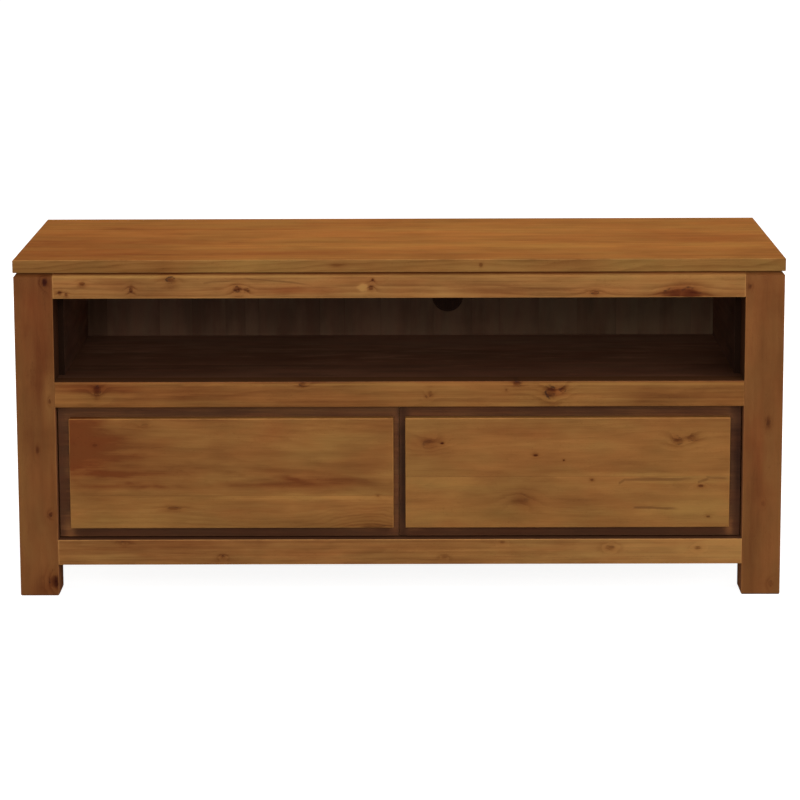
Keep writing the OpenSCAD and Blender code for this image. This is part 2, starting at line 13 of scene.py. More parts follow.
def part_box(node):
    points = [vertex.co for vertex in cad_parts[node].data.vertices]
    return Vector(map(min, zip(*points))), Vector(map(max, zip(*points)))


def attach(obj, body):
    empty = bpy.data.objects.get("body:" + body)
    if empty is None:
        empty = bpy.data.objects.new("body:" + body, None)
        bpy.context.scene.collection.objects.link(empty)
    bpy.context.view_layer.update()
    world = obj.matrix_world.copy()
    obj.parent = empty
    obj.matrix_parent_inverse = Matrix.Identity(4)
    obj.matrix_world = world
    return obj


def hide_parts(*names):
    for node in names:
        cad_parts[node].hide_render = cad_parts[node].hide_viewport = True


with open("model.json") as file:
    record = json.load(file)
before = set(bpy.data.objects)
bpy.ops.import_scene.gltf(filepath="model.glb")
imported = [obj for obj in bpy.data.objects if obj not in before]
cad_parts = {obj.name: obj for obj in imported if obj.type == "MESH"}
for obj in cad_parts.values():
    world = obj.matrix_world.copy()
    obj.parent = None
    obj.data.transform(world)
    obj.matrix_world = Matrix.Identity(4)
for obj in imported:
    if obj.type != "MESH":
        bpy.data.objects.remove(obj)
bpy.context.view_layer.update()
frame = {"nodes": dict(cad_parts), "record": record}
nodes = frame["nodes"]
print("frame loaded:", len(nodes), "nodes")


# Camera, solved from the photograph's vanishing points, in metres and degrees
cameraView = {
    "place": (0.0250, -5.2255, 1.3402),
    "pitch": 9.5287,       # downwards
    "yaw": 0.3692,
    "roll": -0.2129,
    "lens": 134.933,
    "sensor": 36.0,
    "shiftX": 0.0066,
    "shiftY": -0.12,
    "clipEnd": 200.0,
}


def makeCamera(view):
    data = bpy.data.cameras.new("viewCamera")
    data.lens = view["lens"]
    data.sensor_width = view["sensor"]
    data.shift_x, data.shift_y = view["shiftX"], view["shiftY"]
    data.clip_end = view["clipEnd"]
    camera = bpy.data.objects.new("viewCamera", data)
    turn = (Matrix.Rotation(math.radians(view["yaw"]), 4, "Z")
            @ Matrix.Rotation(math.radians(90 - view["pitch"]), 4, "X")
            @ Matrix.Rotation(math.radians(view["roll"]), 4, "Z"))
    camera.matrix_world = Matrix.Translation(view["place"]) @ turn
    bpy.context.collection.objects.link(camera)
    bpy.context.scene.camera = camera


makeCamera(cameraView)
bpy.context.scene.view_settings.view_transform = "Standard"
print("camera placed")


# Node helpers
white = (1.0, 1.0, 1.0, 1.0)
origin = (0.0, 0.0, 0.0)
farAway = 1e5       # mm, past the end of every board


def put(tree, kind, inputs=(), **settings):
    # one shader node; an input is a number, a colour or another node's output
    node = tree.nodes.new("ShaderNode" + kind)
    for key, value in settings.items():
        setattr(node, key, value)
    for key, value in dict(inputs).items():
        if isinstance(value, bpy.types.NodeSocket):
            tree.links.new(value, node.inputs[key])
        else:
            node.inputs[key].default_value = value
    return node


def calc(tree, operation, *terms, clamp=False):
    terms = dict(enumerate(terms))
    return put(tree, "Math", terms, operation=operation, use_clamp=clamp).outputs[0]


def times(tree, a, b):
    return calc(tree, "MULTIPLY", a, b)


def minus(tree, a, b):
    return calc(tree, "SUBTRACT", a, b)


def weighed(tree, start, parts):
    # start, plus each value times its weight
    for value, weight in parts:
        start = calc(tree, "MULTIPLY_ADD", value, weight, start)
    return start


def joined(tree, *parts):
    return put(tree, "CombineXYZ", dict(enumerate(parts))).outputs[0]


def parted(tree, vector):
    return put(tree, "SeparateXYZ", {0: vector}).outputs


def vec(tree, operation, *terms):
    node = put(tree, "VectorMath", dict(enumerate(terms)), operation=operation)
    return node.outputs["Value" if operation == "LENGTH" else "Vector"]


def cells(tree, point, *size):
    # the point in cells of this size, given in mm as one number or three
    return vec(tree, "MULTIPLY", point, tuple(1 / part for part in size * (3 // len(size))))


def fade(tree, value, low, high, start=0.0, end=1.0):
    # smooth step from start to end while value goes from low to high
    terms = {"Value": value, "From Min": low, "From Max": high, "To Min": start, "To Max": end}
    return put(tree, "MapRange", terms, interpolation_type="SMOOTHSTEP").outputs[0]


def noise(tree, vector, detail=2.0, roughness=0.5, colour=False):
    terms = {"Vector": vector, "Scale": 1.0, "Detail": detail, "Roughness": roughness}
    return put(tree, "TexNoise", terms).outputs[1 if colour else 0]


def blend(tree, factor, a, b, mode="MIX"):
    terms = {0: factor, 6: a, 7: b}
    return put(tree, "Mix", terms, data_type="RGBA", blend_type=mode).outputs[2]


def newGroup(name, inputs, outputs):
    # a shader node group with these inputs, their defaults, and these outputs
    tree = bpy.data.node_groups.new(name, "ShaderNodeTree")
    for label, default in inputs.items():
        size = len(default) if isinstance(default, tuple) else 1
        kind = "NodeSocket" + {1: "Float", 3: "Vector", 4: "Color"}[size]
        tree.interface.new_socket(label, in_out="INPUT", socket_type=kind).default_value = default
    for label in outputs:
        kind = "NodeSocketColor" if label == "Colour" else "NodeSocketFloat"
        tree.interface.new_socket(label, in_out="OUTPUT", socket_type=kind)
    return tree, tree.nodes.new("NodeGroupInput").outputs, tree.nodes.new("NodeGroupOutput").inputs


def give(tree, out, results):
    # send a group's results to its outputs, by name
    for label, value in results.items():
        tree.links.new(value, out[label])
    return tree


def use(tree, group, inputs):
    # one of the groups, placed in a material or in another group
    return put(tree, "Group", inputs, node_tree=group).outputs


def emptyMaterial(name):
    material = bpy.data.materials.new(name)
    material.use_nodes = True
    material.node_tree.nodes.clear()
    return material, material.node_tree


def millimetres(tree, place):
    scale = (1000.0, 1000.0, 1000.0)
    return put(tree, "Mapping", {"Vector": place["Object"], "Scale": scale}).outputs[0]


def screenColour(red, green, blue):
    # a 0 to 255 screen colour as the linear value that Blender works with
    def linear(part):
        part = part / 255
        return part / 12.92 if part < 0.04045 else ((part + 0.055) / 1.055) ** 2.4
    return (linear(red), linear(green), linear(blue), 1.0)


# Growth rings: distance from a leaning, wandering pith line over the ring width, plus
# the push of the knots. Each ring darkens slowly and ends sharply.
ringLook = {
    "driftCell": (330, 90, 90),     # mm along the grain, across it and through
    "ruffleCell": (45, 7, 7),
    "ruffle": 0.55,         # rings
    "leanThrough": -0.6,    # of the lean across the board
    "darkens": (0.3, 0.88),     # parts of a ring's width
    "ends": (0.9, 1.0),
    "faintest": 0.4,
    "seedSteps": (17.3, 5.1, 9.7),
    "seedRings": 7.7,
}


def makeRingsGroup(look):
    tree, given, out = newGroup("growthRings", {
        "Board": origin, "Ring Width": 4.0, "Pith": (0.0, 0.0, 60.0), "Lean": 0.02,
        "Wander": 14.0, "Seed": 0.0, "Push": 0.0}, ["Late"])
    board = given["Board"]
    seed = joined(tree, *(times(tree, given["Seed"], step) for step in look["seedSteps"]))
    slow = vec(tree, "ADD", cells(tree, board, *look["driftCell"]), seed)
    drift = vec(tree, "SUBTRACT", noise(tree, slow, colour=True), (0.5, 0.5, 0.5))
    terms = {0: drift, "Scale": given["Wander"]}
    drift = put(tree, "VectorMath", terms, operation="SCALE").outputs[0]
    lean = times(tree, parted(tree, board)[0], given["Lean"])
    leaning = joined(tree, 0.0, lean, times(tree, lean, look["leanThrough"]))
    place = vec(tree, "SUBTRACT", board, given["Pith"])
    place = vec(tree, "ADD", vec(tree, "ADD", place, drift), leaning)
    reach = vec(tree, "LENGTH", vec(tree, "MULTIPLY", place, (0.0, 1.0, 1.0)))
    ruffle = noise(tree, vec(tree, "ADD", cells(tree, board, *look["ruffleCell"]), seed))
    phase = calc(tree, "ADD", calc(tree, "DIVIDE", reach, given["Ring Width"]), given["Push"])
    phase = calc(tree, "MULTIPLY_ADD", ruffle, look["ruffle"], phase)
    part = calc(tree, "FRACT", phase)
    late = times(tree, fade(tree, part, *look["darkens"]), fade(tree, part, *look["ends"], 1.0, 0.0))
    ring = calc(tree, "ADD", calc(tree, "FLOOR", phase), times(tree, given["Seed"], look["seedRings"]))
    tone = put(tree, "TexWhiteNoise", {"W": ring}, noise_dimensions="1D").outputs[0]
    depth = calc(tree, "MULTIPLY_ADD", tone, 1 - look["faintest"], look["faintest"])
    return give(tree, out, {"Late": times(tree, late, depth)})


# Fibres: noise stretched along the grain at several scales, and short dark vessel dashes
fibreLook = {       # cells along the grain and across it (mm), detail, roughness, and limits
    "Streak": (300, "Streak Width", 4.0, 0.6, 0.28, 0.72),
    "Fine": (38, 0.9, 3.0, 0.65),
    "Dash": (7, 0.5, 1.0, 0.5, 0.62, 0.72),
    "Crowd": (60, 12.0, 1.0, 0.5, 0.35, 0.65),
    "Blotch": (150, 45.0, 3.0, 0.55, 0.3, 0.7),
    "Warm": (140, "Warm Width", 3.0, 0.6, 0.3, 0.7),
}


def makeFibresGroup(look):
    tree, given, out = newGroup("woodFibres", {
        "Board": origin, "Seed": 0.0, "Streak Width": 12.0, "Warm Width": 30.0},
        ["Streak", "Fine", "Pore", "Blotch", "Warm"])
    shift = joined(tree, given["Seed"], given["Seed"], given["Seed"])
    found = {}
    for kind, (length, width, detail, roughness, *limits) in look.items():
        # the width is a number, or one of the group's inputs by name
        thin = calc(tree, "DIVIDE", 1.0, given[width] if isinstance(width, str) else width)
        cell = vec(tree, "MULTIPLY", given["Board"], joined(tree, 1 / length, thin, thin))
        value = noise(tree, vec(tree, "ADD", cell, shift), detail, roughness)
        found[kind] = fade(tree, value, *limits) if limits else value
    found["Pore"] = times(tree, found.pop("Dash"), found.pop("Crowd"))
    return give(tree, out, found)


# Knot: a branch through the board. d is the distance over its radius, made ragged by
# noise. Rings are pushed round it by push * exp(-(d/reach)^2); the core and its rim are
# bands of d broken into flecks, unless it is solid or a dot.
knotLook = {
    "turn": (0.37, 0.53),       # noise of its own for each knot, by its place
    "raggedScale": (0.9, 0.9, 1.0),
    "fleckScale": (1.0, 1.3, 1.0),
    "ragged": 1.3,              # this and the next ones in radii
    "pushReach": 2.3,
    "haloReach": 1.7,
    "core": (0.35, 1.15),
    "rim": 0.85,
    "rimSharpness": -22.0,
    "dot": (2.5, 4.0),          # mm, the radius where a dot becomes a knot
    "coreFlecks": (0.40, 0.60, 0.35, 1.0),
    "rimFlecks": (0.5, 0.66),
}


def makeKnotGroup(look):
    tree, given, out = newGroup("branchKnot", {
        "Board": origin, "Along": 0.0, "Across": 0.0, "Radius": 5.0, "Stretch": 1.4, "Push": 1.5,
        "Depth": 1.0, "Solid": 0.0, "Push In": 0.0, "Core In": 0.0, "Bark In": 0.0, "Halo In": 0.0},
        ["Push", "Core", "Bark", "Halo"])
    radius, depth = given["Radius"], given["Depth"]
    part = parted(tree, given["Board"])
    along = calc(tree, "DIVIDE", minus(tree, part[0], given["Along"]), given["Stretch"])
    across = minus(tree, part[1], given["Across"])
    turnAlong, turnAcross = look["turn"]
    turn = calc(tree, "MULTIPLY_ADD", given["Along"], turnAlong, times(tree, given["Across"], turnAcross))
    spot = joined(tree, calc(tree, "DIVIDE", along, radius), calc(tree, "DIVIDE", across, radius), turn)
    ragged = noise(tree, vec(tree, "MULTIPLY", spot, look["raggedScale"]))
    flecks = noise(tree, vec(tree, "MULTIPLY", spot, look["fleckScale"]), 2.0, 0.6)
    reach = vec(tree, "LENGTH", vec(tree, "MULTIPLY", spot, (1.0, 1.0, 0.0)))
    reach = calc(tree, "MULTIPLY_ADD", minus(tree, ragged, 0.5), look["ragged"], reach)
    square = times(tree, reach, reach)

    def bell(width):
        return calc(tree, "EXPONENT", calc(tree, "DIVIDE", square, -width * width))
    solid = calc(tree, "MAXIMUM", fade(tree, radius, *look["dot"], 1.0, 0.0), given["Solid"])
    broken = calc(tree, "MAXIMUM", fade(tree, flecks, *look["coreFlecks"]), solid)
    core = times(tree, fade(tree, reach, *look["core"], 1.0, 0.0), times(tree, depth, broken))
    edge = minus(tree, reach, look["rim"])
    bark = calc(tree, "EXPONENT", times(tree, times(tree, edge, edge), look["rimSharpness"]))
    bark = times(tree, bark, times(tree, depth, fade(tree, flecks, *look["rimFlecks"])))
    halo = times(tree, bell(look["haloReach"]), calc(tree, "POWER", depth, 0.5))
    push = calc(tree, "MULTIPLY_ADD", bell(look["pushReach"]), given["Push"], given["Push In"])
    results = {"Push": push}
    for label, value in (("Core", core), ("Bark", bark), ("Halo", halo)):
        results[label] = calc(tree, "MAXIMUM", value, given[label + " In"])
    return give(tree, out, results)


# Wash: an area of a board that took the stain darker, paler or redder, or painted light or shade, by
# exp(-f * d^2) with d the distance over its length, width and thickness, and f from noise
washLook = {        # -f is noise * ragged + start, and never over the limit
    "ragged": -3.6,
    "start": 0.8,
    "limit": -0.25,
}


def makeWashGroup(look):
    tree, given, out = newGroup("stainWash", {
        "Board": origin, "Ragged": 0.5, "Along": 0.0, "Across": 0.0, "Length": 50.0,
        "Width": 15.0, "Through": 0.0, "Thickness": farAway, "Depth": 0.1, "Redness": 0.0,
        "Tone In": 0.0, "Red In": 0.0}, ["Tone", "Red"])
    square = 0.0
    for part, place, reach in zip(parted(tree, given["Board"]), ("Along", "Across", "Through"),
                                  ("Length", "Width", "Thickness")):
        away = calc(tree, "DIVIDE", minus(tree, part, given[place]), given[reach])
        square = calc(tree, "MULTIPLY_ADD", away, away, square)
    rough = calc(tree, "MULTIPLY_ADD", given["Ragged"], look["ragged"], look["start"])
    bell = calc(tree, "EXPONENT", times(tree, square, calc(tree, "MINIMUM", rough, look["limit"])))
    return give(tree, out, {
        "Tone": calc(tree, "MULTIPLY_ADD", bell, given["Depth"], given["Tone In"]),
        "Red": calc(tree, "MULTIPLY_ADD", bell, given["Redness"], given["Red In"])})


# Split: a dark hairline from one point of a board to another, bent by noise, with
# ends that taper away
splitLook = {
    "wander": 9.0,              # mm
    "edge": (0.3, 1.3),         # parts of the width
    "opens": (0.0, 0.06),       # parts of the length
    "closes": (0.7, 1.0),
}


def makeSplitGroup(look):
    tree, given, out = newGroup("hairSplit", {
        "Board": origin, "Ragged": 0.5, "From U": 0.0, "From V": 0.0, "To U": 1.0,
        "To V": 0.0, "Width": 1.0, "Depth": 1.0, "Split In": 0.0}, ["Split"])
    part = parted(tree, given["Board"])
    share = calc(tree, "DIVIDE", minus(tree, part[0], given["From U"]),
                 minus(tree, given["To U"], given["From U"]))
    rise = minus(tree, given["To V"], given["From V"])
    middle = calc(tree, "MULTIPLY_ADD", share, rise, given["From V"])
    middle = calc(tree, "MULTIPLY_ADD", minus(tree, given["Ragged"], 0.5), look["wander"], middle)
    away = calc(tree, "ABSOLUTE", minus(tree, part[1], middle))
    away = calc(tree, "DIVIDE", away, given["Width"])
    line = times(tree, fade(tree, away, *look["edge"], 1.0, 0.0), fade(tree, share, *look["opens"]))
    line = times(tree, line, fade(tree, share, *look["closes"], 1.0, 0.0))
    line = times(tree, line, given["Depth"])
    return give(tree, out, {"Split": calc(tree, "MAXIMUM", line, given["Split In"])})


# Boards glued edge to edge: counts the seams below V, marks the glue lines, adds tones
mostSeams = 5
glueLine = (0.15, 0.7)      # mm from the seam


def makeGlueGroup():
    seams = {"Seam %d" % k: farAway for k in range(1, mostSeams + 1)}
    tones = {"Tone %d" % k: 0.0 for k in range(mostSeams + 1)}
    tree, given, out = newGroup("gluedBoards", {"Across": 0.0, **seams, **tones},
                                ["Index", "Line", "Tone"])
    index, line, tone = 0.0, 0.0, given["Tone 0"]
    for k, seam in enumerate(seams, 1):
        over = calc(tree, "GREATER_THAN", given["Across"], given[seam])
        gap = calc(tree, "ABSOLUTE", minus(tree, given["Across"], given[seam]))
        index = calc(tree, "ADD", over, index)
        line = calc(tree, "MAXIMUM", fade(tree, gap, *glueLine, 1.0, 0.0), line)
        step = minus(tree, given["Tone %d" % k], given["Tone %d" % (k - 1)])
        tone = calc(tree, "MULTIPLY_ADD", over, step, tone)
    return give(tree, out, {"Index": index, "Line": line, "Tone": tone})


# Edge wear and painted highlight of the arrises: the middle one of a point's three distances
# to the board's faces is its distance to the nearest edge; the pale edge fades out over the width, broken
# up by noise
wearAndHighlightLook = {
    "patch": 26,                # mm
    "patchy": (1.8, 0.1),       # the width is noise times the first plus the second
    "narrowest": 0.05,          # mm
    "grimeCell": (120, 120, 60),
    "grime": (0.45, 0.75),
}


def makeWearAndHighlightGroup(look):
    tree, given, out = newGroup("edgeWear", {
        "Point": origin, "Low": origin, "High": (1.0, 1.0, 1.0), "Width": 3.0}, ["Wear", "Grime"])
    near = vec(tree, "MINIMUM", vec(tree, "SUBTRACT", given["Point"], given["Low"]),
               vec(tree, "SUBTRACT", given["High"], given["Point"]))
    a, b, c = parted(tree, vec(tree, "ABSOLUTE", near))
    middle = calc(tree, "MAXIMUM", calc(tree, "MINIMUM", a, b),
                  calc(tree, "MINIMUM", calc(tree, "MAXIMUM", a, b), c))
    patchy = noise(tree, cells(tree, given["Point"], look["patch"]), 3.0, 0.6)
    width = times(tree, given["Width"], calc(tree, "MULTIPLY_ADD", patchy, *look["patchy"]))
    width = calc(tree, "MAXIMUM", width, look["narrowest"])
    wearAndHighlight = calc(tree, "SUBTRACT", 1.0, calc(tree, "DIVIDE", middle, width), clamp=True)
    grime = noise(tree, cells(tree, given["Point"], *look["grimeCell"]), 3.0, 0.6)
    return give(tree, out, {"Wear": wearAndHighlight, "Grime": fade(tree, grime, *look["grime"])})


# Stained timber: the level between dark and pale is a sum of streaks, blotches, fibres,
# rings and tone; then hue, knots, pores, glue lines, splits, end grain, dirt, edge wear with painted arris
# highlights, and painted shade or dark stain on faces turned one way
timberHues = {
    "cool": (0.97, 1.03, 1.02, 1.0), "warm": (1.04, 0.97, 0.95, 1.0),       # from streak to streak
    "red": (1.05, 0.80, 0.78, 1.0), "golden": (0.97, 1.07, 1.02, 1.0),      # of the washes
    "bare": (1.3, 1.3, 1.4, 1.0),       # worn edges and painted highlights of the arrises, of the pale tone
    "dim": (0.3, 0.3, 0.3, 1.0),        # grain that shows through the dark stain or painted shade
}
timberLook = {
    "level": 0.58,          # without streaks, rings or tone
    "haloRings": 0.5,       # how much clearer the rings are round a knot
    "coreRings": 0.3,       # and how far they show in its core
    "worn": 0.85,
    "dimShare": 0.35,       # how much of the grain shows through the dark stain or painted shade
}
timberMarks = [     # (mask, strength, colour, mode), in the order they are laid on
    ("Halo", 0.45, (0.68, 0.44, 0.30, 1.0), "MULTIPLY"),
    ("Core", 1.0, (0.30, 0.13, 0.08, 1.0), "MULTIPLY"),
    ("Bark", 0.8, (0.014, 0.006, 0.005, 1.0), "MIX"),
    ("Pore", 0.5, (0.42, 0.33, 0.28, 1.0), "MULTIPLY"),
    ("Line", 0.3, (0.3, 0.24, 0.2, 1.0), "MULTIPLY"),
    ("Split", 0.85, (0.075, 0.026, 0.009, 1.0), "MIX"),
    ("End", 0.75, (0.5, 0.4, 0.34, 1.0), "MULTIPLY"),
    ("Grime", 0.25, (0.6, 0.52, 0.46, 1.0), "MULTIPLY"),
]


def makeTimberGroup(look, rings, fibres):
    tree, given, out = newGroup("stainedTimber", {
        "Board": origin, "Ring Width": 4.0, "Pith": (0.0, 0.0, 60.0), "Lean": 0.02,
        "Wander": 14.0, "Seed": 0.0, "Push": 0.0, "Core": 0.0, "Bark": 0.0, "Halo": 0.0,
        "Line": 0.0, "Tone": 0.0, "Red": 0.0, "Split": 0.0, "Wear": 0.0, "Grime": 0.0,
        "End": 0.0, "Shade": 0.0, "Shade Colour": (0.02, 0.01, 0.006, 1.0),
        "Pale": (0.5, 0.3, 0.1, 1.0), "Mid": (0.3, 0.15, 0.05, 1.0), "Dark": (0.1, 0.05, 0.02, 1.0),
        "Rings": 0.4, "Streaks": 0.5, "Fines": 0.5, "Streak Width": 12.0, "Warm Width": 30.0,
        "Blotches": 0.4, "Roughness": 0.45}, ["Colour", "Roughness", "Height"])
    late = use(tree, rings, {k: given[k] for k in (
        "Board", "Ring Width", "Pith", "Lean", "Wander", "Seed", "Push")})["Late"]
    fibre = use(tree, fibres, {k: given[k] for k in ("Board", "Seed", "Streak Width", "Warm Width")})
    fine, pore = fibre["Fine"], fibre["Pore"]
    centred = {k: minus(tree, fibre[k], 0.5) for k in ("Streak", "Blotch", "Fine")}
    level = weighed(tree, look["level"], [(centred["Streak"], given["Streaks"]),
                                          (centred["Blotch"], given["Blotches"]),
                                          (centred["Fine"], given["Fines"])])
    ringed = calc(tree, "MULTIPLY_ADD", given["Halo"], look["haloRings"], given["Rings"])
    level = calc(tree, "ADD", minus(tree, level, times(tree, late, ringed)), given["Tone"])
    lower = calc(tree, "MULTIPLY", level, 2.0, clamp=True)
    upper = calc(tree, "MULTIPLY_ADD", level, 2.0, -1.0, clamp=True)
    colour = blend(tree, upper, blend(tree, lower, given["Dark"], given["Mid"]), given["Pale"])
    hue = blend(tree, fibre["Warm"], timberHues["cool"], timberHues["warm"])
    colour = blend(tree, 1.0, colour, hue, "MULTIPLY")
    redder = calc(tree, "MAXIMUM", given["Red"], 0.0, clamp=True)
    colour = blend(tree, redder, colour, timberHues["red"], "MULTIPLY")
    golden = calc(tree, "MULTIPLY", given["Red"], -1.0, clamp=True)
    colour = blend(tree, golden, colour, timberHues["golden"], "MULTIPLY")
    masks = {label: given[label] for label in ("Halo", "Bark", "Line", "Split", "End", "Grime")}
    share = look["coreRings"]
    masks["Core"] = times(tree, given["Core"], calc(tree, "MULTIPLY_ADD", late, share, 1 - share))
    masks["Pore"] = pore
    for label, strength, paint, mode in timberMarks:
        colour = blend(tree, times(tree, masks[label], strength), colour, paint, mode)
    # pale, bluish edge colour: worn edges and painted highlights of the arrises
    bare = blend(tree, 1.0, given["Pale"], timberHues["bare"], "MULTIPLY")
    colour = blend(tree, times(tree, given["Wear"], look["worn"]), colour, bare)
    # faces turned one way take the shade colour: painted shade, or the inside's dark stain
    dim = blend(tree, 1.0, colour, timberHues["dim"], "MULTIPLY")
    dark = blend(tree, look["dimShare"], given["Shade Colour"], dim)
    colour = blend(tree, given["Shade"], colour, dark)
    rough = weighed(tree, given["Roughness"], [
        (centred["Fine"], 0.16), (pore, 0.12), (late, -0.05), (given["End"], 0.15),
        (given["Grime"], 0.06), (given["Shade"], 0.3)])
    height = weighed(tree, 0.0, [
        (fine, 0.5), (late, 0.3), (pore, -0.7), (given["Line"], -0.5), (given["Bark"], -0.6),
        (given["Split"], -1.2)])
    return give(tree, out, {"Colour": colour, "Roughness": rough, "Height": height})


knotGroup = makeKnotGroup(knotLook)
washGroup = makeWashGroup(washLook)
splitGroup = makeSplitGroup(splitLook)
glueGroup = makeGlueGroup()
wearAndHighlightGroup = makeWearAndHighlightGroup(wearAndHighlightLook)
timberGroup = makeTimberGroup(timberLook, makeRingsGroup(ringLook), makeFibresGroup(fibreLook))


# Strips of the back panels: widths as they are in the photographed panel, tones drawn
# with a fixed seed. Two looks at one constant ramp, a little apart, find the joints.
panelStrips = {
    "edges": [-640, -612, -572, -539, -445, -381, -322, -285, -263, -149, -103, -38, 19, 59, 129,
              179, 252, 324, 394, 434, 477, 530, 568, 605],     # mm from the middle
    "half": 650.0,      # mm from the middle to the ends of the ramp
    "joint": 0.9,       # mm
    "seed": 41,
}


def makeStripsGroup(strips):
    tree, given, out = newGroup("panelStrips", {"Across": 0.0}, ["Tone", "Line"])
    edges, half = strips["edges"], strips["half"]
    tones = np.random.default_rng(strips["seed"]).uniform(0.0, 1.0, len(edges))

    def look(offset):
        spot = calc(tree, "ADD", given["Across"], half + offset)
        ramp = put(tree, "ValToRGB", {0: calc(tree, "DIVIDE", spot, 2 * half)})
        stops = ramp.color_ramp.elements
        ramp.color_ramp.interpolation = "CONSTANT"
        for k, (edge, tone) in enumerate(zip(edges, tones)):
            place = (edge + half) / (2 * half)
            stop = stops[0] if k == 0 else stops.new(place)
            stop.position, stop.color = place, (tone, tone, tone, 1.0)
        stops[len(stops) - 1].color = (0.5, 0.5, 0.5, 1.0)
        return ramp.outputs[0]
    here, beside = look(0.0), look(strips["joint"])
    differ = calc(tree, "ABSOLUTE", minus(tree, here, beside))
    return give(tree, out, {"Tone": here, "Line": calc(tree, "GREATER_THAN", differ, 0.001)})


stripsGroup = makeStripsGroup(panelStrips)
print("node groups made")


paler, darker = (0.42, 0.55, 0.6), (0.42, 0.52, 0.55)      # in red, green and blue


def stain(red, green, blue, spread=1.0):
    # pale, middle and dark tones of one stain, from its middle screen colour
    mid = screenColour(red, green, blue)
    pale = tuple(m * (1 + spread * k) for m, k in zip(mid, paler)) + (1.0,)
    dark = tuple(m * (1 - spread * k) for m, k in zip(mid, darker)) + (1.0,)
    return {"Pale": pale, "Mid": mid, "Dark": dark}


def darkStain(pale, mid, dark):
    return {"Pale": screenColour(*pale), "Mid": screenColour(*mid), "Dark": screenColour(*dark)}


# Everything that sets one board's timber apart from the next
timberDefaults = {
    "axes": "xzy",          # which of x, y, z are U (grain), V (across) and W (through)
    "pith": (0.0, 0.0, 90.0),   # U, V and W of the pith, mm from the board's middle
    "ringWidth": 4.2,
    "lean": 0.03,
    "wander": 16.0,
    "rings": 0.17,
    "streaks": 0.34,
    "fines": 0.45,
    "blotches": 0.30,
    "streakWidth": 6.0,
    "warmWidth": 26.0,
    "washes": [],           # (U mm, V mm, length, width, tone, redness), and W and thickness
    "splits": [],           # (from U, from V, to U, to V, width, depth)
    "shade": None,          # (axis, sign, colour) of faces left dark by dark stain or painted shade, and U mm, colour below it
    "seed": 1.0,
    "tone": 0.0,
    "knots": [],            # (U mm, V mm, radius, stretch, push, depth, and 1 if solid)
    "seams": [],            # V mm of each glue line
    "tones": [0.0],         # one for each board between the seams
    "strips": False,
    "roughness": 0.42,
    "lacquer": 0.08,        # weight of the clear coat
    "wearWidth": 1.8,
    "shoulder": None,       # (axis, mm) of the shoulders at a tenoned board's ends
    "faceTint": None,       # what the upward face is multiplied by: painted light, warmer than the sides
    "relief": 0.35,
}
boardLook = {
    "endGrain": (0.6, 0.85),        # how squarely a face looks along the grain
    "shadeFace": (0.75, 0.95),
    "upwardFace": (0.7, 0.95),
    "shadeBorder": 2.0,             # mm
    "raggedCell": (70, 22, 22),
    "bump": 0.0003,                 # m
    "coatRoughness": 0.32,
}
seamJump = (731.0, 37.0, -23.0)     # mm from the wood of one glued board to the next one's
stripJump = (9100.0, 0.0, 140.0)    # mm from the wood of the darkest strip to the palest one's


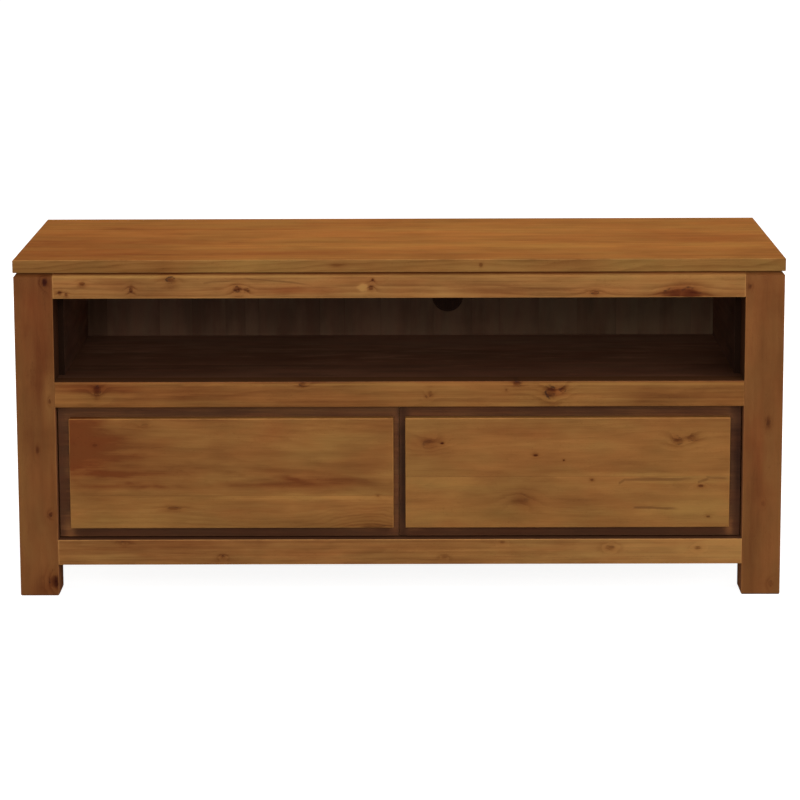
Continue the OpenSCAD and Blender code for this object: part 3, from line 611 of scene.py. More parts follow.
def timber(name, node, colours, **changes):
    # one board's material, from its settings and the box of its CAD node
    spec = {**timberDefaults, **changes}
    low, high = (np.array(corner) * 1000 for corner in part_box(node))
    if spec["shoulder"]:
        axis, half = spec["shoulder"]
        low["xyz".index(axis)], high["xyz".index(axis)] = -half, half
    order = ["xyz".index(axis) for axis in spec["axes"]]
    pith = tuple(float(v) for v in np.array(spec["pith"]) + ((low + high) / 2)[order])
    material, tree = emptyMaterial(name)
    place = put(tree, "TexCoord").outputs
    point = millimetres(tree, place)
    parts, normal = parted(tree, point), parted(tree, place["Normal"])
    along, across = parts[order[0]], parts[order[1]]
    board = joined(tree, *(parts[k] for k in order))
    end = fade(tree, calc(tree, "ABSOLUTE", normal[order[0]]), *boardLook["endGrain"])
    tone, line, grained = spec["tone"], 0.0, board
    if spec["seams"]:
        # each glued board has rings and fibres from another place in the tree
        levels = spec["tones"] + [spec["tones"][-1]] * (mostSeams + 1 - len(spec["tones"]))
        glued = use(tree, glueGroup, {
            "Across": across, **{"Seam %d" % k: float(v) for k, v in enumerate(spec["seams"], 1)},
            **{"Tone %d" % k: float(v) + spec["tone"] for k, v in enumerate(levels)}})
        tone, line = glued["Tone"], glued["Line"]
        jump = joined(tree, *(times(tree, glued["Index"], step) for step in seamJump))
        grained = vec(tree, "ADD", board, jump)
    if spec["strips"]:
        strip = use(tree, stripsGroup, {"Across": across})
        line = strip["Line"]
        tone = calc(tree, "MULTIPLY_ADD", strip["Tone"], 0.5, spec["tone"] - 0.25)
        jump = joined(tree, *(times(tree, strip["Tone"], step) for step in stripJump))
        grained = vec(tree, "ADD", board, jump)
    red, split, shade = 0.0, 0.0, 0.0
    ragged = noise(tree, cells(tree, board, *boardLook["raggedCell"]), 3.0)
    washInputs = ("Along", "Across", "Length", "Width", "Depth", "Redness", "Through", "Thickness")
    for wash in spec["washes"]:
        terms = dict(zip(washInputs, (float(value) for value in wash)))
        washed = use(tree, washGroup, {"Board": board, "Ragged": ragged, "Tone In": tone,
                                       "Red In": red, **terms})
        tone, red = washed["Tone"], washed["Red"]
    splitInputs = ("From U", "From V", "To U", "To V", "Width", "Depth")
    for ends in spec["splits"]:
        terms = dict(zip(splitInputs, (float(value) for value in ends)))
        split = use(tree, splitGroup, {"Board": board, "Ragged": ragged, "Split In": split,
                                       **terms})["Split"]
    # faces turned one way take painted shade or the inside's dark stain, and below a height painted light
    if spec["shade"]:
        axis, sign, shadeColour, *lower = spec["shade"]
        facing = times(tree, normal["xyz".index(axis)], float(sign))
        shade = fade(tree, facing, *boardLook["shadeFace"])
        if lower:
            (border, lowerColour), half = lower, boardLook["shadeBorder"]
            upper = fade(tree, along, border - half, border + half)
            shadeColour = blend(tree, upper, lowerColour, shadeColour)
        colours = {**colours, "Shade Colour": shadeColour}
    marks = {"Push": 0.0, "Core": 0.0, "Bark": 0.0, "Halo": 0.0}
    knotInputs = ("Along", "Across", "Radius", "Stretch", "Push", "Depth", "Solid")
    for knot in spec["knots"]:
        terms = dict(zip(knotInputs, (float(value) for value in knot)))
        terms.update({label + " In": value for label, value in marks.items()})
        found = use(tree, knotGroup, {"Board": board, **terms})
        marks = {label: found[label] for label in marks}
    worn = use(tree, wearAndHighlightGroup, {"Point": point, "Low": tuple(low), "High": tuple(high),
                                 "Width": spec["wearWidth"]})
    made = use(tree, timberGroup, {
        "Board": grained, "Ring Width": spec["ringWidth"], "Pith": pith, "Lean": spec["lean"],
        "Wander": spec["wander"], "Seed": spec["seed"], "Line": line, "Tone": tone, "Red": red,
        "Split": split, "End": end, "Wear": worn["Wear"], "Grime": worn["Grime"], "Shade": shade,
        "Rings": spec["rings"], "Streaks": spec["streaks"], "Fines": spec["fines"],
        "Streak Width": spec["streakWidth"], "Warm Width": spec["warmWidth"],
        "Blotches": spec["blotches"], "Roughness": spec["roughness"], **marks, **colours})
    colour = made["Colour"]
    # painted light: the upward face multiplied by its tint
    if spec["faceTint"]:
        litUpward = fade(tree, normal[2], *boardLook["upwardFace"])
        colour = blend(tree, litUpward, colour, spec["faceTint"], "MULTIPLY")
    bump = put(tree, "Bump", {"Strength": spec["relief"], "Distance": boardLook["bump"],
                              "Height": made["Height"]})
    sheen = calc(tree, "MULTIPLY_ADD", calc(tree, "MAXIMUM", shade, worn["Wear"]),
                 -spec["lacquer"], spec["lacquer"])
    shader = put(tree, "BsdfPrincipled", {
        "Base Color": colour, "Roughness": made["Roughness"], "Normal": bump.outputs[0],
        "Specular IOR Level": 0.0, "Coat Weight": sheen,
        "Coat Roughness": boardLook["coatRoughness"]})
    put(tree, "OutputMaterial", {"Surface": shader.outputs[0]})
    return material


def dress(node, material):
    # the CAD node keeps its mesh and takes this material in every slot
    slots = nodes[node].data.materials
    slots.clear()
    slots.append(material)



topStain = stain(130, 88, 46)
railStain = stain(133, 89, 47)
middleStain = stain(122, 79, 39)
postStain = stain(109, 67, 34)
frontStain = stain(128, 85, 43)
# darker than the raised fronts' stain: partly stain, partly painted shade of the drawer recess
recessStainAndShade = darkStain((150, 98, 58), (86, 55, 36), (52, 32, 23))
wallStain = darkStain((136, 94, 71), (98, 66, 50), (58, 38, 29))
shelfStain = darkStain((134, 96, 74), (100, 66, 48), (70, 44, 31))
backStain = stain(92, 66, 49, 0.5)
endStain = stain(124, 78, 42)
plainStain = stain(196, 158, 108, 0.6)
boxStain = stain(206, 170, 122, 0.6)
plyStain = stain(212, 180, 134, 0.5)

# Colours of faces turned one way: the shelf's is the inside's dark stain; the others are painted shade of
# faces in shadow, and the one beside the drawers is painted light
innerShade = screenColour(72, 44, 31)
shelfDark = screenColour(66, 42, 27)
wallEndShade = screenColour(36, 23, 16)
gapShade = screenColour(86, 54, 40)
gapSideLight = screenColour(165, 106, 70)    # painted light beside the drawers, where more light falls in

railEnd = ("x", 583.0)      # shoulders of the long rails
postGrain = dict(rings=0.05, streaks=0.12, streakWidth=14.0, warmWidth=40.0, fines=0.25)
wallGrain = dict(rings=0.05, streaks=0.12, blotches=0.12, fines=0.2, wearWidth=0.1)
planed = dict(wearWidth=0.8, roughness=0.6)

# Top board and posts
boards = {
    "top_panel": (topStain, dict(
        axes="xyz", seed=3.1, pith=(0, 30, -150), ringWidth=5.0, lean=0.02, wander=30.0,
        rings=0.20, streaks=0.17, streakWidth=14.0, warmWidth=60.0, blotches=0.20, fines=0.5,
        seams=[-140, -60, 12, 114], tones=[-0.05, 0.05, -0.02, 0.04, 0.0], wearWidth=1.2,
        # the upward face's warmer tint is painted light
        lacquer=0.02, roughness=0.5, faceTint=(1.03, 0.88, 0.66, 1.0),
        washes=[
            # the first wash makes the front edge golden: painted light of the edge
            (0, -254, 900, 6, 0.02, -0.7), (-560, -100, 150, 200, -0.26, 0.35),
            (-540, -250, 90, 8, -0.10, 0.1, 570.0, 30.0), (-420, 116, 150, 5, -0.22, 0.4),
            (-250, 112, 90, 3.5, -0.24, 0.4), (150, 120, 260, 40, 0.08, -0.35),
            (120, -90, 300, 26, 0.12, -0.45), (430, -90, 170, 22, 0.08, -0.35),
            (380, 75, 200, 22, 0.10, 0.1), (520, 0, 120, 60, -0.12, 0.4),
            (-300, -180, 260, 26, -0.10, 0.2), (-100, 60, 200, 30, -0.02, 0.2),
            (-104, -250, 16, 8, -0.4, 0.3, 571.0, 5.0), (-30, -250, 70, 8, -0.16, 0.1, 570.0, 30.0),
            (138, -250, 3, 8, -1.2, 0.5, 571.0, 3.0), (-420, -250, 50, 8, -0.12, 0.0, 570.0, 30.0),
            (-260, -250, 60, 8, 0.10, -0.4, 570.0, 30.0),
            (490, -250, 140, 8, -0.12, -0.5, 570.0, 30.0),
            (290, -250, 80, 8, -0.10, 0.2, 570.0, 30.0)])),
    "leg_front_left": (postStain, dict(
        axes="zxy", seed=7.3, pith=(0, -8, 70), ringWidth=4.6, lean=0.02, **postGrain, tone=-0.02,
        # inner face: painted shade, and painted light below 350 mm beside the drawers
        shade=("x", 1, innerShade, 350.0, gapSideLight),
        washes=[
            (520, -605, 110, 40, -0.26, 0.5), (345, -594, 42, 9, 0.5, -0.9),
            (10, -605, 20, 24, -0.25, 0.4), (250, -642, 220, 6, 0.16, -0.3),
            (410, -600, 80, 18, -0.20, 0.4), (440, -630, 110, 30, -0.08, 0.1),
            (150, -620, 120, 20, 0.05, 0.0)],
        knots=[
            (543, -597, 5, 1.5, 1.5, 1.0, 1.0), (142, -595, 4, 1.2, 1.2, 1.0, 1.0),
            (25, -590, 10, 1.1, 1.6, 1.0, 0.8), (339, -592, 2.6, 1.8, 1.2, 0.7),
            (255, -615, 3.0, 2.4, 0.8, 0.6)])),
    "leg_front_right": (postStain, dict(
        axes="zxy", seed=11.9, pith=(0, 14, 64), ringWidth=4.2, lean=-0.015, **postGrain,
        # inner face: painted shade, and painted light below 350 mm beside the drawers
        shade=("x", -1, innerShade, 350.0, gapSideLight),
        washes=[
            (200, 610, 140, 14, -0.14, 0.4), (420, 600, 90, 14, 0.06, 0.0),
            (520, 630, 60, 30, -0.04, 0.1)],
        knots=[
            (533, 591, 3.5, 1.3, 1.0, 0.7), (300, 625, 4.5, 2.2, 1.0, 0.4),
            (159, 619, 3.5, 1.6, 1.0, 0.4), (19, 633, 5, 1.4, 1.2, 0.4)])),
    "leg_rear_left": (postStain, dict(
        # inner face: painted shade
        axes="zxy", seed=15.2, pith=(0, 6, -60), shade=("x", 1, innerShade),
        knots=[(400, -610, 6, 1.4, 1.6, 0.9)])),
    "leg_rear_right": (postStain, dict(
        # inner face: painted shade
        axes="zxy", seed=19.4, pith=(0, -10, -66), shade=("x", -1, innerShade),
        knots=[(180, 622, 6, 1.4, 1.6, 0.8)])),
}

# Front and rear rails
boards.update({
    "front_top_rail": (railStain, dict(
        seed=23.7, pith=(0, 24, 52), ringWidth=5.0, lean=0.01, rings=0.22, tone=-0.02, shoulder=railEnd,
        washes=[
            # the first wash is painted shadow of the top board's overhang; the next two are painted
            # highlights of the chamfer's arris
            (0, 557.6, 2000, 2.6, -0.5, 0.7), (0, 552.4, 2000, 2.2, 0.30, -0.2),
            (-430, 552, 150, 2.4, 0.5, -0.6), (-190, 529, 60, 5, -0.28, 0.7),
            (-60, 533, 5.5, 5.5, 1.6, -0.8), (477, 519, 36, 15, -0.6, 1.2),
            (420, 545, 160, 8, 0.10, -0.2), (-450, 535, 150, 14, -0.08, -0.1),
            (-330, 524, 90, 5, -0.10, 0.2), (60, 540, 120, 4, -0.10, 0.1),
            (240, 528, 120, 5, -0.08, 0.2), (350, 546, 120, 4, 0.10, -0.3),
            (0, 520, 90, 4, 0.08, -0.3)],
        splits=[
            (-262, 550, -138, 536, 1.6, 0.5), (-330, 541, -270, 546, 1.3, 0.35),
            (120, 544, 230, 541, 1.2, 0.25)],
        knots=[
            (-571, 525, 3.5, 1.2, 0.5, 1.0, 0.8), (-560, 522, 3, 1.1, 0.4, 1.0, 0.8),
            (-533, 541, 3.5, 1.6, 0.6, 1.0, 0.6), (-451, 530, 6, 0.6, 0.7, 0.9, 0.9),
            (-385, 547, 7, 1.5, 0.8, 1.0, 0.8), (-272, 531, 7.5, 1.0, 0.9, 0.9, 0.2),
            (-256, 529, 4, 1.4, 0.4, 0.8, 0.5), (-47, 532, 4, 1.2, 0.9, 0.9, 1.0),
            (-44, 546, 3, 0.8, 0.5, 0.9), (329, 523, 3.5, 2.6, 0.8, 0.9, 0.8),
            (460, 514, 16, 1.05, 0.4, 0.8, 1.0), (490, 513, 18, 1.2, 0.6, 0.85, 1.0)])),
    "front_middle_rail": (middleStain, dict(
        seed=29.3, pith=(0, -18, 60), ringWidth=4.4, lean=-0.012, shoulder=railEnd,
        shade=("z", 1, shelfDark), wearWidth=0.5,
        washes=[
            # the first wash is painted shade over the rounded top arris; the next three are painted
            # highlights of the arris
            (60, 372, 2000, 2.0, -0.2, 0.6), (60, 366.8, 420, 1.8, 0.5, 0.0),
            (-420, 369.5, 150, 1.8, 0.4, 0.0), (400, 366.5, 160, 1.8, 0.14, 0.0),
            (540, 350, 60, 30, -0.04, 0.2), (-520, 362, 70, 9, -0.26, 0.7),
            (-400, 350, 170, 40, -0.20, 0.1), (-535, 345, 40, 9, 0.06, -0.5),
            (268, 352, 11, 8, -0.1, 0.8), (262, 339, 16, 2.5, 0.22, -0.3),
            (248, 362, 9, 3, 0.25, -0.5), (230, 345, 40, 8, 0.05, -0.6),
            (480, 345, 110, 7, -0.12, 0.1), (430, 356, 60, 4, -0.10, 0.1)],
        knots=[
            (-511, 358, 10, 0.7, 0.8, 1.0, 1.0), (-164, 367, 4, 1.8, 0.8, 0.9, 0.7),
            (52, 351, 5, 0.8, 0.6, 0.6, 0.8), (46, 346, 3.2, 0.7, 0.4, 0.5, 0.8),
            (181, 357, 2.2, 1.2, 0.5, 0.6), (200, 368, 4.5, 1.8, 0.6, 0.9, 1.0),
            (255, 353, 13, 0.9, 1.2, 1.0, 0.8), (276, 358, 6, 1.3, 0.6, 0.8, 0.6)])),
    "front_bottom_rail": (railStain, dict(
        seed=31.1, pith=(0, 12, 66), ringWidth=4.8, lean=0.014, tone=-0.05, shoulder=railEnd,
        # top face: painted shade of the gap under the drawer fronts
        shade=("z", 1, gapShade),
        washes=[
            (540, 75, 110, 40, 0.34, -0.25), (330, 75, 120, 30, 0.12, -0.1),
            (-60, 75, 110, 25, -0.1, 0.3), (-380, 75, 160, 30, -0.20, 0.2),
            (-540, 66, 60, 10, 0.12, -0.4), (80, 75, 160, 30, 0.06, -0.6)],
        knots=[
            (-469, 95, 4, 2.0, 1.0, 0.7), (-302, 68, 3.5, 1.5, 1.0, 0.8),
            (76, 67, 3, 1.8, 1.0, 0.6), (175, 93, 3, 1.5, 0.8, 0.4),
            (359, 83, 5, 1.8, 1.4, 0.6), (508, 82, 3.5, 1.8, 1.0, 0.6)])),
})
for name, seed, knots in (
        ("rear_top_rail", 37.0, [(-220, 540, 7, 1.4, 2.0, 0.8), (310, 530, 5, 1.4, 1.5, 0.8)]),
        ("rear_middle_rail", 41.0, [(90, 330, 7, 1.4, 2.0, 0.8), (-410, 322, 5, 1.4, 1.5, 0.8)]),
        ("rear_bottom_rail", 43.0, [(-60, 78, 6, 1.4, 2.0, 0.8), (450, 70, 8, 1.4, 1.8, 0.7)])):
    boards[name] = (railStain, dict(seed=seed, shoulder=railEnd, knots=knots))

# Ends
for side, sign in (("left", -1), ("right", 1)):
    for level, base in (("top", 515.0), ("bottom", 54.0)):      # mm over the floor
        boards["side_%s_rail_%s" % (level, side)] = (railStain, dict(
            axes="yzx", seed=47.0 + sign + base / 50, pith=(0, 10, -sign * 60.0), shoulder=("y", 183.0),
            knots=[(-90 * sign, base + 18, 5, 1.4, 1.5, 0.8), (105, base + 32, 4, 1.4, 1.4, 0.6)]))
    boards["end_panel_" + side] = (endStain, dict(
        axes="zyx", seed=53.0 + sign, pith=(0, 60, sign * 120.0), ringWidth=5.0, wander=30.0,
        seams=[-98, -12, 84], tones=[0.05, -0.06, 0.03, -0.02], wearWidth=0.4,
        knots=[(300, 40 * sign, 7, 1.4, 2.2, 0.8), (180, -60, 5, 1.5, 1.8, 0.7)]))

# Back and niche
boards.update({
    "back_panel_upper": (backStain, dict(
        axes="zxy", seed=59.0, strips=True, wearWidth=0.3, blotches=1.0, streaks=0.15, fines=0.2,
        rings=0.06,
        washes=[
            (374, -260, 3, 300, 0.3, 0.0), (440, -500, 200, 130, 0.0, 0.25),
            (440, 420, 200, 200, 0.12, -0.7), (440, -200, 200, 60, -0.2, 0.0),
            (440, 20, 200, 60, -0.2, 0.0)])),
    "back_panel_lower": (backStain, dict(axes="zxy", seed=61.0, strips=True, wearWidth=0.3)),
    "niche_shelf": (shelfStain, dict(
        # board tones and washes paler at the back, darker at the front and by the right post: painted light
        # and shade of the niche
        axes="xyz", seed=63.0, pith=(0, 40, -120), seams=[-130, -95], tones=[-0.46, -0.42, -0.22],
        wearWidth=0.3, lacquer=0.04, rings=0.05, streaks=0.12, streakWidth=16.0, blotches=0.16, fines=0.15,
        washes=[
            (0, 190, 1200, 160, 0.6, 0.0), (-480, -190, 160, 80, -0.15, 0.0),
            (590, -190, 70, 160, -0.45, 0.0)])),
    # niche walls: the front ends are painted shade, and the washes, darker at the front and paler at the
    # back, are painted light and shade
    "niche_wall_left": (wallStain, dict(
        axes="yzx", seed=67.0, shade=("y", -1, wallEndShade), **wallGrain,
        washes=[(-190, 400, 130, 160, -0.42, 0.0), (110, 520, 170, 110, 0.7, 0.0)])),
    "niche_wall_right": (wallStain, dict(
        axes="yzx", seed=69.0, shade=("y", -1, wallEndShade), **wallGrain,
        washes=[(-190, 400, 170, 200, -0.55, 0.0), (150, 540, 130, 90, 0.5, 0.0)])),
})

# Drawer fronts
for side, sign in (("left", -1), ("right", 1)):
    boards["set_back_front_" + side] = (recessStainAndShade, dict(
        seed=71.0 + sign, wearWidth=0.05, streaks=0.12, blotches=0.12, fines=0.16, rings=0.03, lacquer=0.04,
        # first wash: painted light at the bottom outer corner; then painted shade by the middle, along the
        # bottom and beside the post; the last wash is the stain's hue
        washes=[
            (sign * 564, 110, 12, 18, 0.28, -0.1), (-7, 215, 7, 170, 0.05, 0.2),
            (6, 215, 7, 170, -0.45, -0.1), (sign * 290, 105, 400, 9, -0.22, 0.2),
            (sign * 577, 220, 9, 130, -0.34 - 0.18 * sign, 0.2), (40, 318, 600, 12, -0.05, 0.1 * sign)]))
boards["raised_front_left"] = (frontStain, dict(
    seed=77.0, pith=(0, 30, 110), ringWidth=6.5, lean=0.03, wander=30.0, rings=0.10, streaks=0.22,
    streakWidth=16.0, warmWidth=50.0, seams=[175], tones=[0.0, -0.08],
    washes=[
        (-548, 282, 55, 50, -0.50, 0.9), (-545, 240, 40, 30, -0.2, 0.5),
        (-470, 245, 150, 55, -0.23, 0.4), (-490, 213, 90, 4.5, -0.34, 0.5),
        (-507, 191, 55, 4, -0.34, 0.4), (-190, 193, 130, 5.5, -0.30, 0.4),
        (-102, 202, 80, 5, -0.26, 0.3), (-200, 217, 70, 9, -0.18, 0.3),
        (-370, 165, 150, 14, 0.14, -0.5), (-140, 171, 170, 4.5, 0.40, -0.3),
        (-131, 278, 70, 36, 0.13, -0.5), (-202, 289, 32, 22, -0.08, 0.5),
        (-340, 260, 70, 24, 0.04, -0.1), (-430, 132, 160, 9, 0.06, -0.4),
        (-250, 150, 60, 8, -0.08, 0.3), (-70, 150, 70, 12, -0.04, 0.2)],
    knots=[
        (-384, 153, 3.2, 4.5, 0.4, 0.75, 1.0), (-517, 263, 3, 1.6, 2.2, 0.5),
        (-431, 297, 4, 2.0, 1.0, 0.4), (-48, 112, 17, 2.0, 4.5, 0.7, 0.6),
        (-37, 174, 2, 1.5, 0.6, 0.4)]))
boards["raised_front_right"] = (frontStain, dict(
    seed=83.0, tone=-0.01, pith=(0, -20, 100), ringWidth=6.5, lean=-0.02, wander=30.0, rings=0.09,
    streaks=0.16, streakWidth=14.0, warmWidth=50.0, seams=[207], tones=[0.03, -0.02],
    washes=[
        (74, 198, 60, 11, 0.22, -0.5), (50, 262, 34, 13, -0.13, 0.4), (106, 151, 70, 24, 0.08, -0.3),
        (212, 168, 20, 13, -0.16, 0.3), (300, 161, 50, 28, -0.06, 0.2), (250, 140, 260, 14, 0.06, -0.5),
        (528, 157, 60, 25, 0.08, -0.4), (222, 280, 80, 14, -0.08, 0.3), (480, 240, 70, 20, 0.06, -0.2),
        # the thin pale washes by 440 at 209 and 197 mm, by 420 at 148 mm and by 530 at 197 mm are painted
        # highlights of the split edges
        (60, 215, 45, 3.5, 0.12, -0.3), (440, 209, 120, 4, 0.26, -0.2), (440, 197, 70, 3, 0.20, -0.3),
        (420, 148, 40, 2.5, 0.12, -0.2), (530, 197, 30, 3, 0.15, -0.3)],
    splits=[
        (372, 194, 386, 203, 3.0, 0.5), (378, 200, 512, 204, 2.8, 0.48), (506, 196, 528, 204, 3.0, 0.5),
        (520, 206, 562, 203, 2.4, 0.4), (396, 152, 480, 151, 2.6, 0.6)],
    knots=[
        (50, 264, 8, 1.8, 1.6, 0.45, 0.4), (72.5, 265, 2.2, 1.6, 1.0, 1.0),
        (231, 244, 2.5, 1.9, 1.0, 0.9), (279, 235, 1.7, 1.1, 0.6, 1.0),
        (471, 268, 9, 1.1, 1.2, 0.6, 0.5), (497, 273, 7, 1.6, 0.6, 0.6, 0.7),
        (525, 137, 2.2, 1.8, 0.8, 0.9), (327, 201, 2.2, 1.4, 0.6, 0.6),
        (512, 190, 2.6, 2.0, 1.0, 0.8), (205, 165, 12, 1.4, 1.6, 0.25, 0.7)]))

# Unstained boards inside, and the drawer boxes
for name, axes in (("top_brace", "yzx"), ("top_buttons", "yzx"), ("centre_divider", "yzx"),
                   ("centre_runner", "yzx"), ("centre_kickers", "yzx"), ("drawer_stops", "xzy")):
    boards[name] = (plainStain, dict(axes=axes, seed=91.0 + len(name), **planed))
for side in ("left", "right"):
    for name in ("wall_batten_", "shelf_bearer_", "runner_", "kicker_"):
        boards[name + side] = (plainStain, dict(
            axes="yzx", seed=101.0 + len(name) + len(side), **planed))
    for name, axes in (("box_front_", "xzy"), ("box_back_", "xzy"),
                       ("outer_side_", "yzx"), ("inner_side_", "yzx")):
        boards[name + side] = (boxStain, dict(
            axes=axes, seed=111.0 + len(name) * 3 + len(side), pith=(0, 30, 160),
            wearWidth=1.0, roughness=0.5))
    boards["drawer_bottom_" + side] = (plyStain, dict(
        axes="xyz", seed=131.0 + len(side), pith=(0, 0, 400), wander=60.0, rings=0.2,
        wearWidth=0.3, roughness=0.55))

for name, (colours, changes) in boards.items():
    dress(name, timber(name + "_timber", name, colours, **changes))
print("timber materials:", len(boards))


# Zinc-plated screws: bright metal with a faint blotchy passivation
zincPlate = {
    "warm": screenColour(196, 190, 170),
    "cold": screenColour(168, 172, 178),
    "cloudScale": (0.6, 0.6, 0.6),      # noise cells in a mm
    "fineScale": (4.0, 4.0, 4.0),
    "roughness": (0.25, 0.45),
    "relief": 0.00005,      # m
}


def screwMetal(look):
    material, tree = emptyMaterial("zinc_plate")
    point = millimetres(tree, put(tree, "TexCoord").outputs)
    cloudy = noise(tree, vec(tree, "MULTIPLY", point, look["cloudScale"]), 3.0, 0.6)
    fine = noise(tree, vec(tree, "MULTIPLY", point, look["fineScale"]), 2.0, 0.6)
    colour = blend(tree, cloudy, look["warm"], look["cold"])
    bump = put(tree, "Bump", {"Strength": 0.2, "Distance": look["relief"], "Height": fine})
    shader = put(tree, "BsdfPrincipled", {
        "Base Color": colour, "Metallic": 1.0, "Normal": bump.outputs[0],
        "Roughness": fade(tree, cloudy, 0.2, 0.8, *look["roughness"])})
    put(tree, "OutputMaterial", {"Surface": shader.outputs[0]})
    return material


# New surfaces: copies of one grid of rows by columns, the columns joined round, with
# the points that fall together welded
weldDistance, sliverLength = 1e-6, 1e-7     # m


def gridPiece(name, points, material, body):
    copies, rows, columns, _ = points.shape
    index = np.arange(copies * rows * columns).reshape(copies, rows, columns)
    around = np.roll(index, -1, axis=2)
    corners = [index[:, :-1], around[:, :-1], around[:, 1:], index[:, 1:]]
    mesh = bpy.data.meshes.new(name)
    mesh.from_pydata(points.reshape(-1, 3), [], np.stack(corners, axis=-1).reshape(-1, 4))
    solid = bmesh.new()
    solid.from_mesh(mesh)
    bmesh.ops.remove_doubles(solid, verts=solid.verts, dist=weldDistance)
    bmesh.ops.dissolve_degenerate(solid, edges=solid.edges, dist=sliverLength)
    bmesh.ops.recalc_face_normals(solid, faces=solid.faces)
    solid.to_mesh(mesh)
    solid.free()
    mesh.materials.append(material)
    piece = bpy.data.objects.new(name, mesh)
    bpy.context.collection.objects.link(piece)
    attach(piece, body)
    return piece


# Pan-head screw: a superellipse dome with a cross sunk in it, then a shank whose radius
# is the core plus a triangle wave of z over the pitch less the turn, drawn in to a point
screwShape = {
    "columns": 48,
    "headRadius": 4.25,
    "headHeight": 2.8,
    "headRows": 26,
    "domePowers": (3, 0.4),
    "crossReach": 2.3,
    "crossWidth": 0.62,
    "crossDepth": 1.7,
    "crossSlope": 0.25,     # run of the cross's side walls
    "crossEnd": 0.5,        # and of its ends
    "shankRadius": 1.96,
    "coreRadius": 1.45,
    "pitch": 2.1,
    "rowsPerTurn": 6,
    "point": 5.0,
    "pointPower": 0.7,
}


def screwSurface(shape, length):
    turn = np.linspace(0, 2 * np.pi, shape["columns"], endpoint=False)[None, :]
    reach = np.linspace(0, 1, shape["headRows"])[:, None]
    radius = reach * shape["headRadius"]
    inPower, outPower = shape["domePowers"]
    dome = -shape["headHeight"] * (1 - reach ** inPower) ** outPower
    x, y = radius * np.cos(turn), radius * np.sin(turn)

    def arm(a, b):
        inside = np.clip((shape["crossWidth"] - np.abs(a)) / shape["crossSlope"] + 0.5, 0, 1)
        return inside * np.clip((shape["crossReach"] - np.abs(b)) / shape["crossEnd"], 0, 1)
    head = np.stack([x, y, dome + shape["crossDepth"] * np.maximum(arm(x, y), arm(y, x))], axis=-1)
    steps = np.arange(0.0, length, shape["pitch"] / shape["rowsPerTurn"])
    z = np.concatenate([[0.0], steps, [length]])[:, None]
    wave = np.abs((z / shape["pitch"] - turn / (2 * np.pi)) % 1.0 * 2 - 1)
    ridge = np.clip(wave * 2 - 1, 0, 1) * (shape["shankRadius"] - shape["coreRadius"])
    narrowing = np.clip((length - z) / shape["point"], 0, 1) ** shape["pointPower"]
    shank = (shape["coreRadius"] + ridge) * narrowing
    body = np.stack([shank * np.cos(turn), shank * np.sin(turn), z + 0 * turn], axis=-1)
    return np.concatenate([head, body])


def makeScrews(node, body, places, length, forward):
    # screws at these places (mm), pointing up, or to the front when forward is set
    one = screwSurface(screwShape, length)
    if forward:
        one = np.stack([one[..., 0], -one[..., 2], one[..., 1]], axis=-1)
    points = (np.array(places)[:, None, None, :] + one[None]) / 1000
    piece = gridPiece(node + "_detailed", points, zinc, body)
    piece.data.polygons.foreach_set("use_smooth", np.ones(len(piece.data.polygons), dtype=bool))
    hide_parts(node)


zinc = screwMetal(zincPlate)
headRadius, headHeight = screwShape["headRadius"], screwShape["headHeight"]
buttonPairs, frontPairs = 4, 3      # pairs of screws, from left to right
low, high = (np.array(corner) * 1000 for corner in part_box("button_screws"))
across = np.linspace(low[0] + headRadius, high[0] - headRadius, buttonPairs)
makeScrews("button_screws", "cabinet",
           [(x, y, low[2] + headHeight) for x in across
            for y in (low[1] + headRadius, high[1] - headRadius)],
           high[2] - low[2] - headHeight, False)
for side in ("left", "right"):
    low, high = (np.array(corner) * 1000 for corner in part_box("front_screws_" + side))
    across = np.linspace(low[0] + headRadius, high[0] - headRadius, frontPairs)
    makeScrews("front_screws_" + side, "drawer_" + side,
               [(x, high[1] - headHeight, z) for x in across
                for z in (low[2] + headRadius, high[2] - headRadius)],
               high[1] - low[1] - headHeight, True)
print("screws made")


# Brush insert in the cable hole, pressed in from behind: a turned ring with a flange at
# the back, and rows of bristles from its upper and lower halves that run past the middle
brushInsert = {
    "clearance": 0.15,
    "ringWall": 2.6,
    "ringColumns": 96,
    "chamfer": 0.6,
    "leadIn": 0.5,              # chamfer of the edge that goes in first
    "flangeRadius": 34.0,
    "flangeThick": 2.0,
    "layers": (2.6, 4.0, 5.4, 6.8),     # mm behind the panel's front face
    "layerShift": 0.35,         # upper rows to the front and lower ones back by this
    "layerStep": 0.37,          # sideways from layer to layer, in parts of its depth
    "spacing": 0.72,
    "spacingSpread": 0.12,
    "sideGap": 0.3,
    "rootDepth": 0.4,           # in the ring's wall
    "overlap": 5.2,             # past the middle
    "overlapSpread": 0.7,
    "bend": 0.7,
    "sway": 0.2,
    "bristleRadius": 0.46,
    "bristleTaper": 0.35,
    "bristleRows": 7,
    "bristleSides": 5,
    "seed": 17,
}
brushNylon = {
    "dark": screenColour(44, 26, 18),
    "pale": screenColour(64, 40, 28),
    "strandScale": (1.3, 1.3, 0.05),    # noise cells in a mm, long ones down the bristles
    "fineScale": (6.0, 6.0, 6.0),
    "roughness": (0.5, 0.65),
    "relief": 0.0001,           # m
}


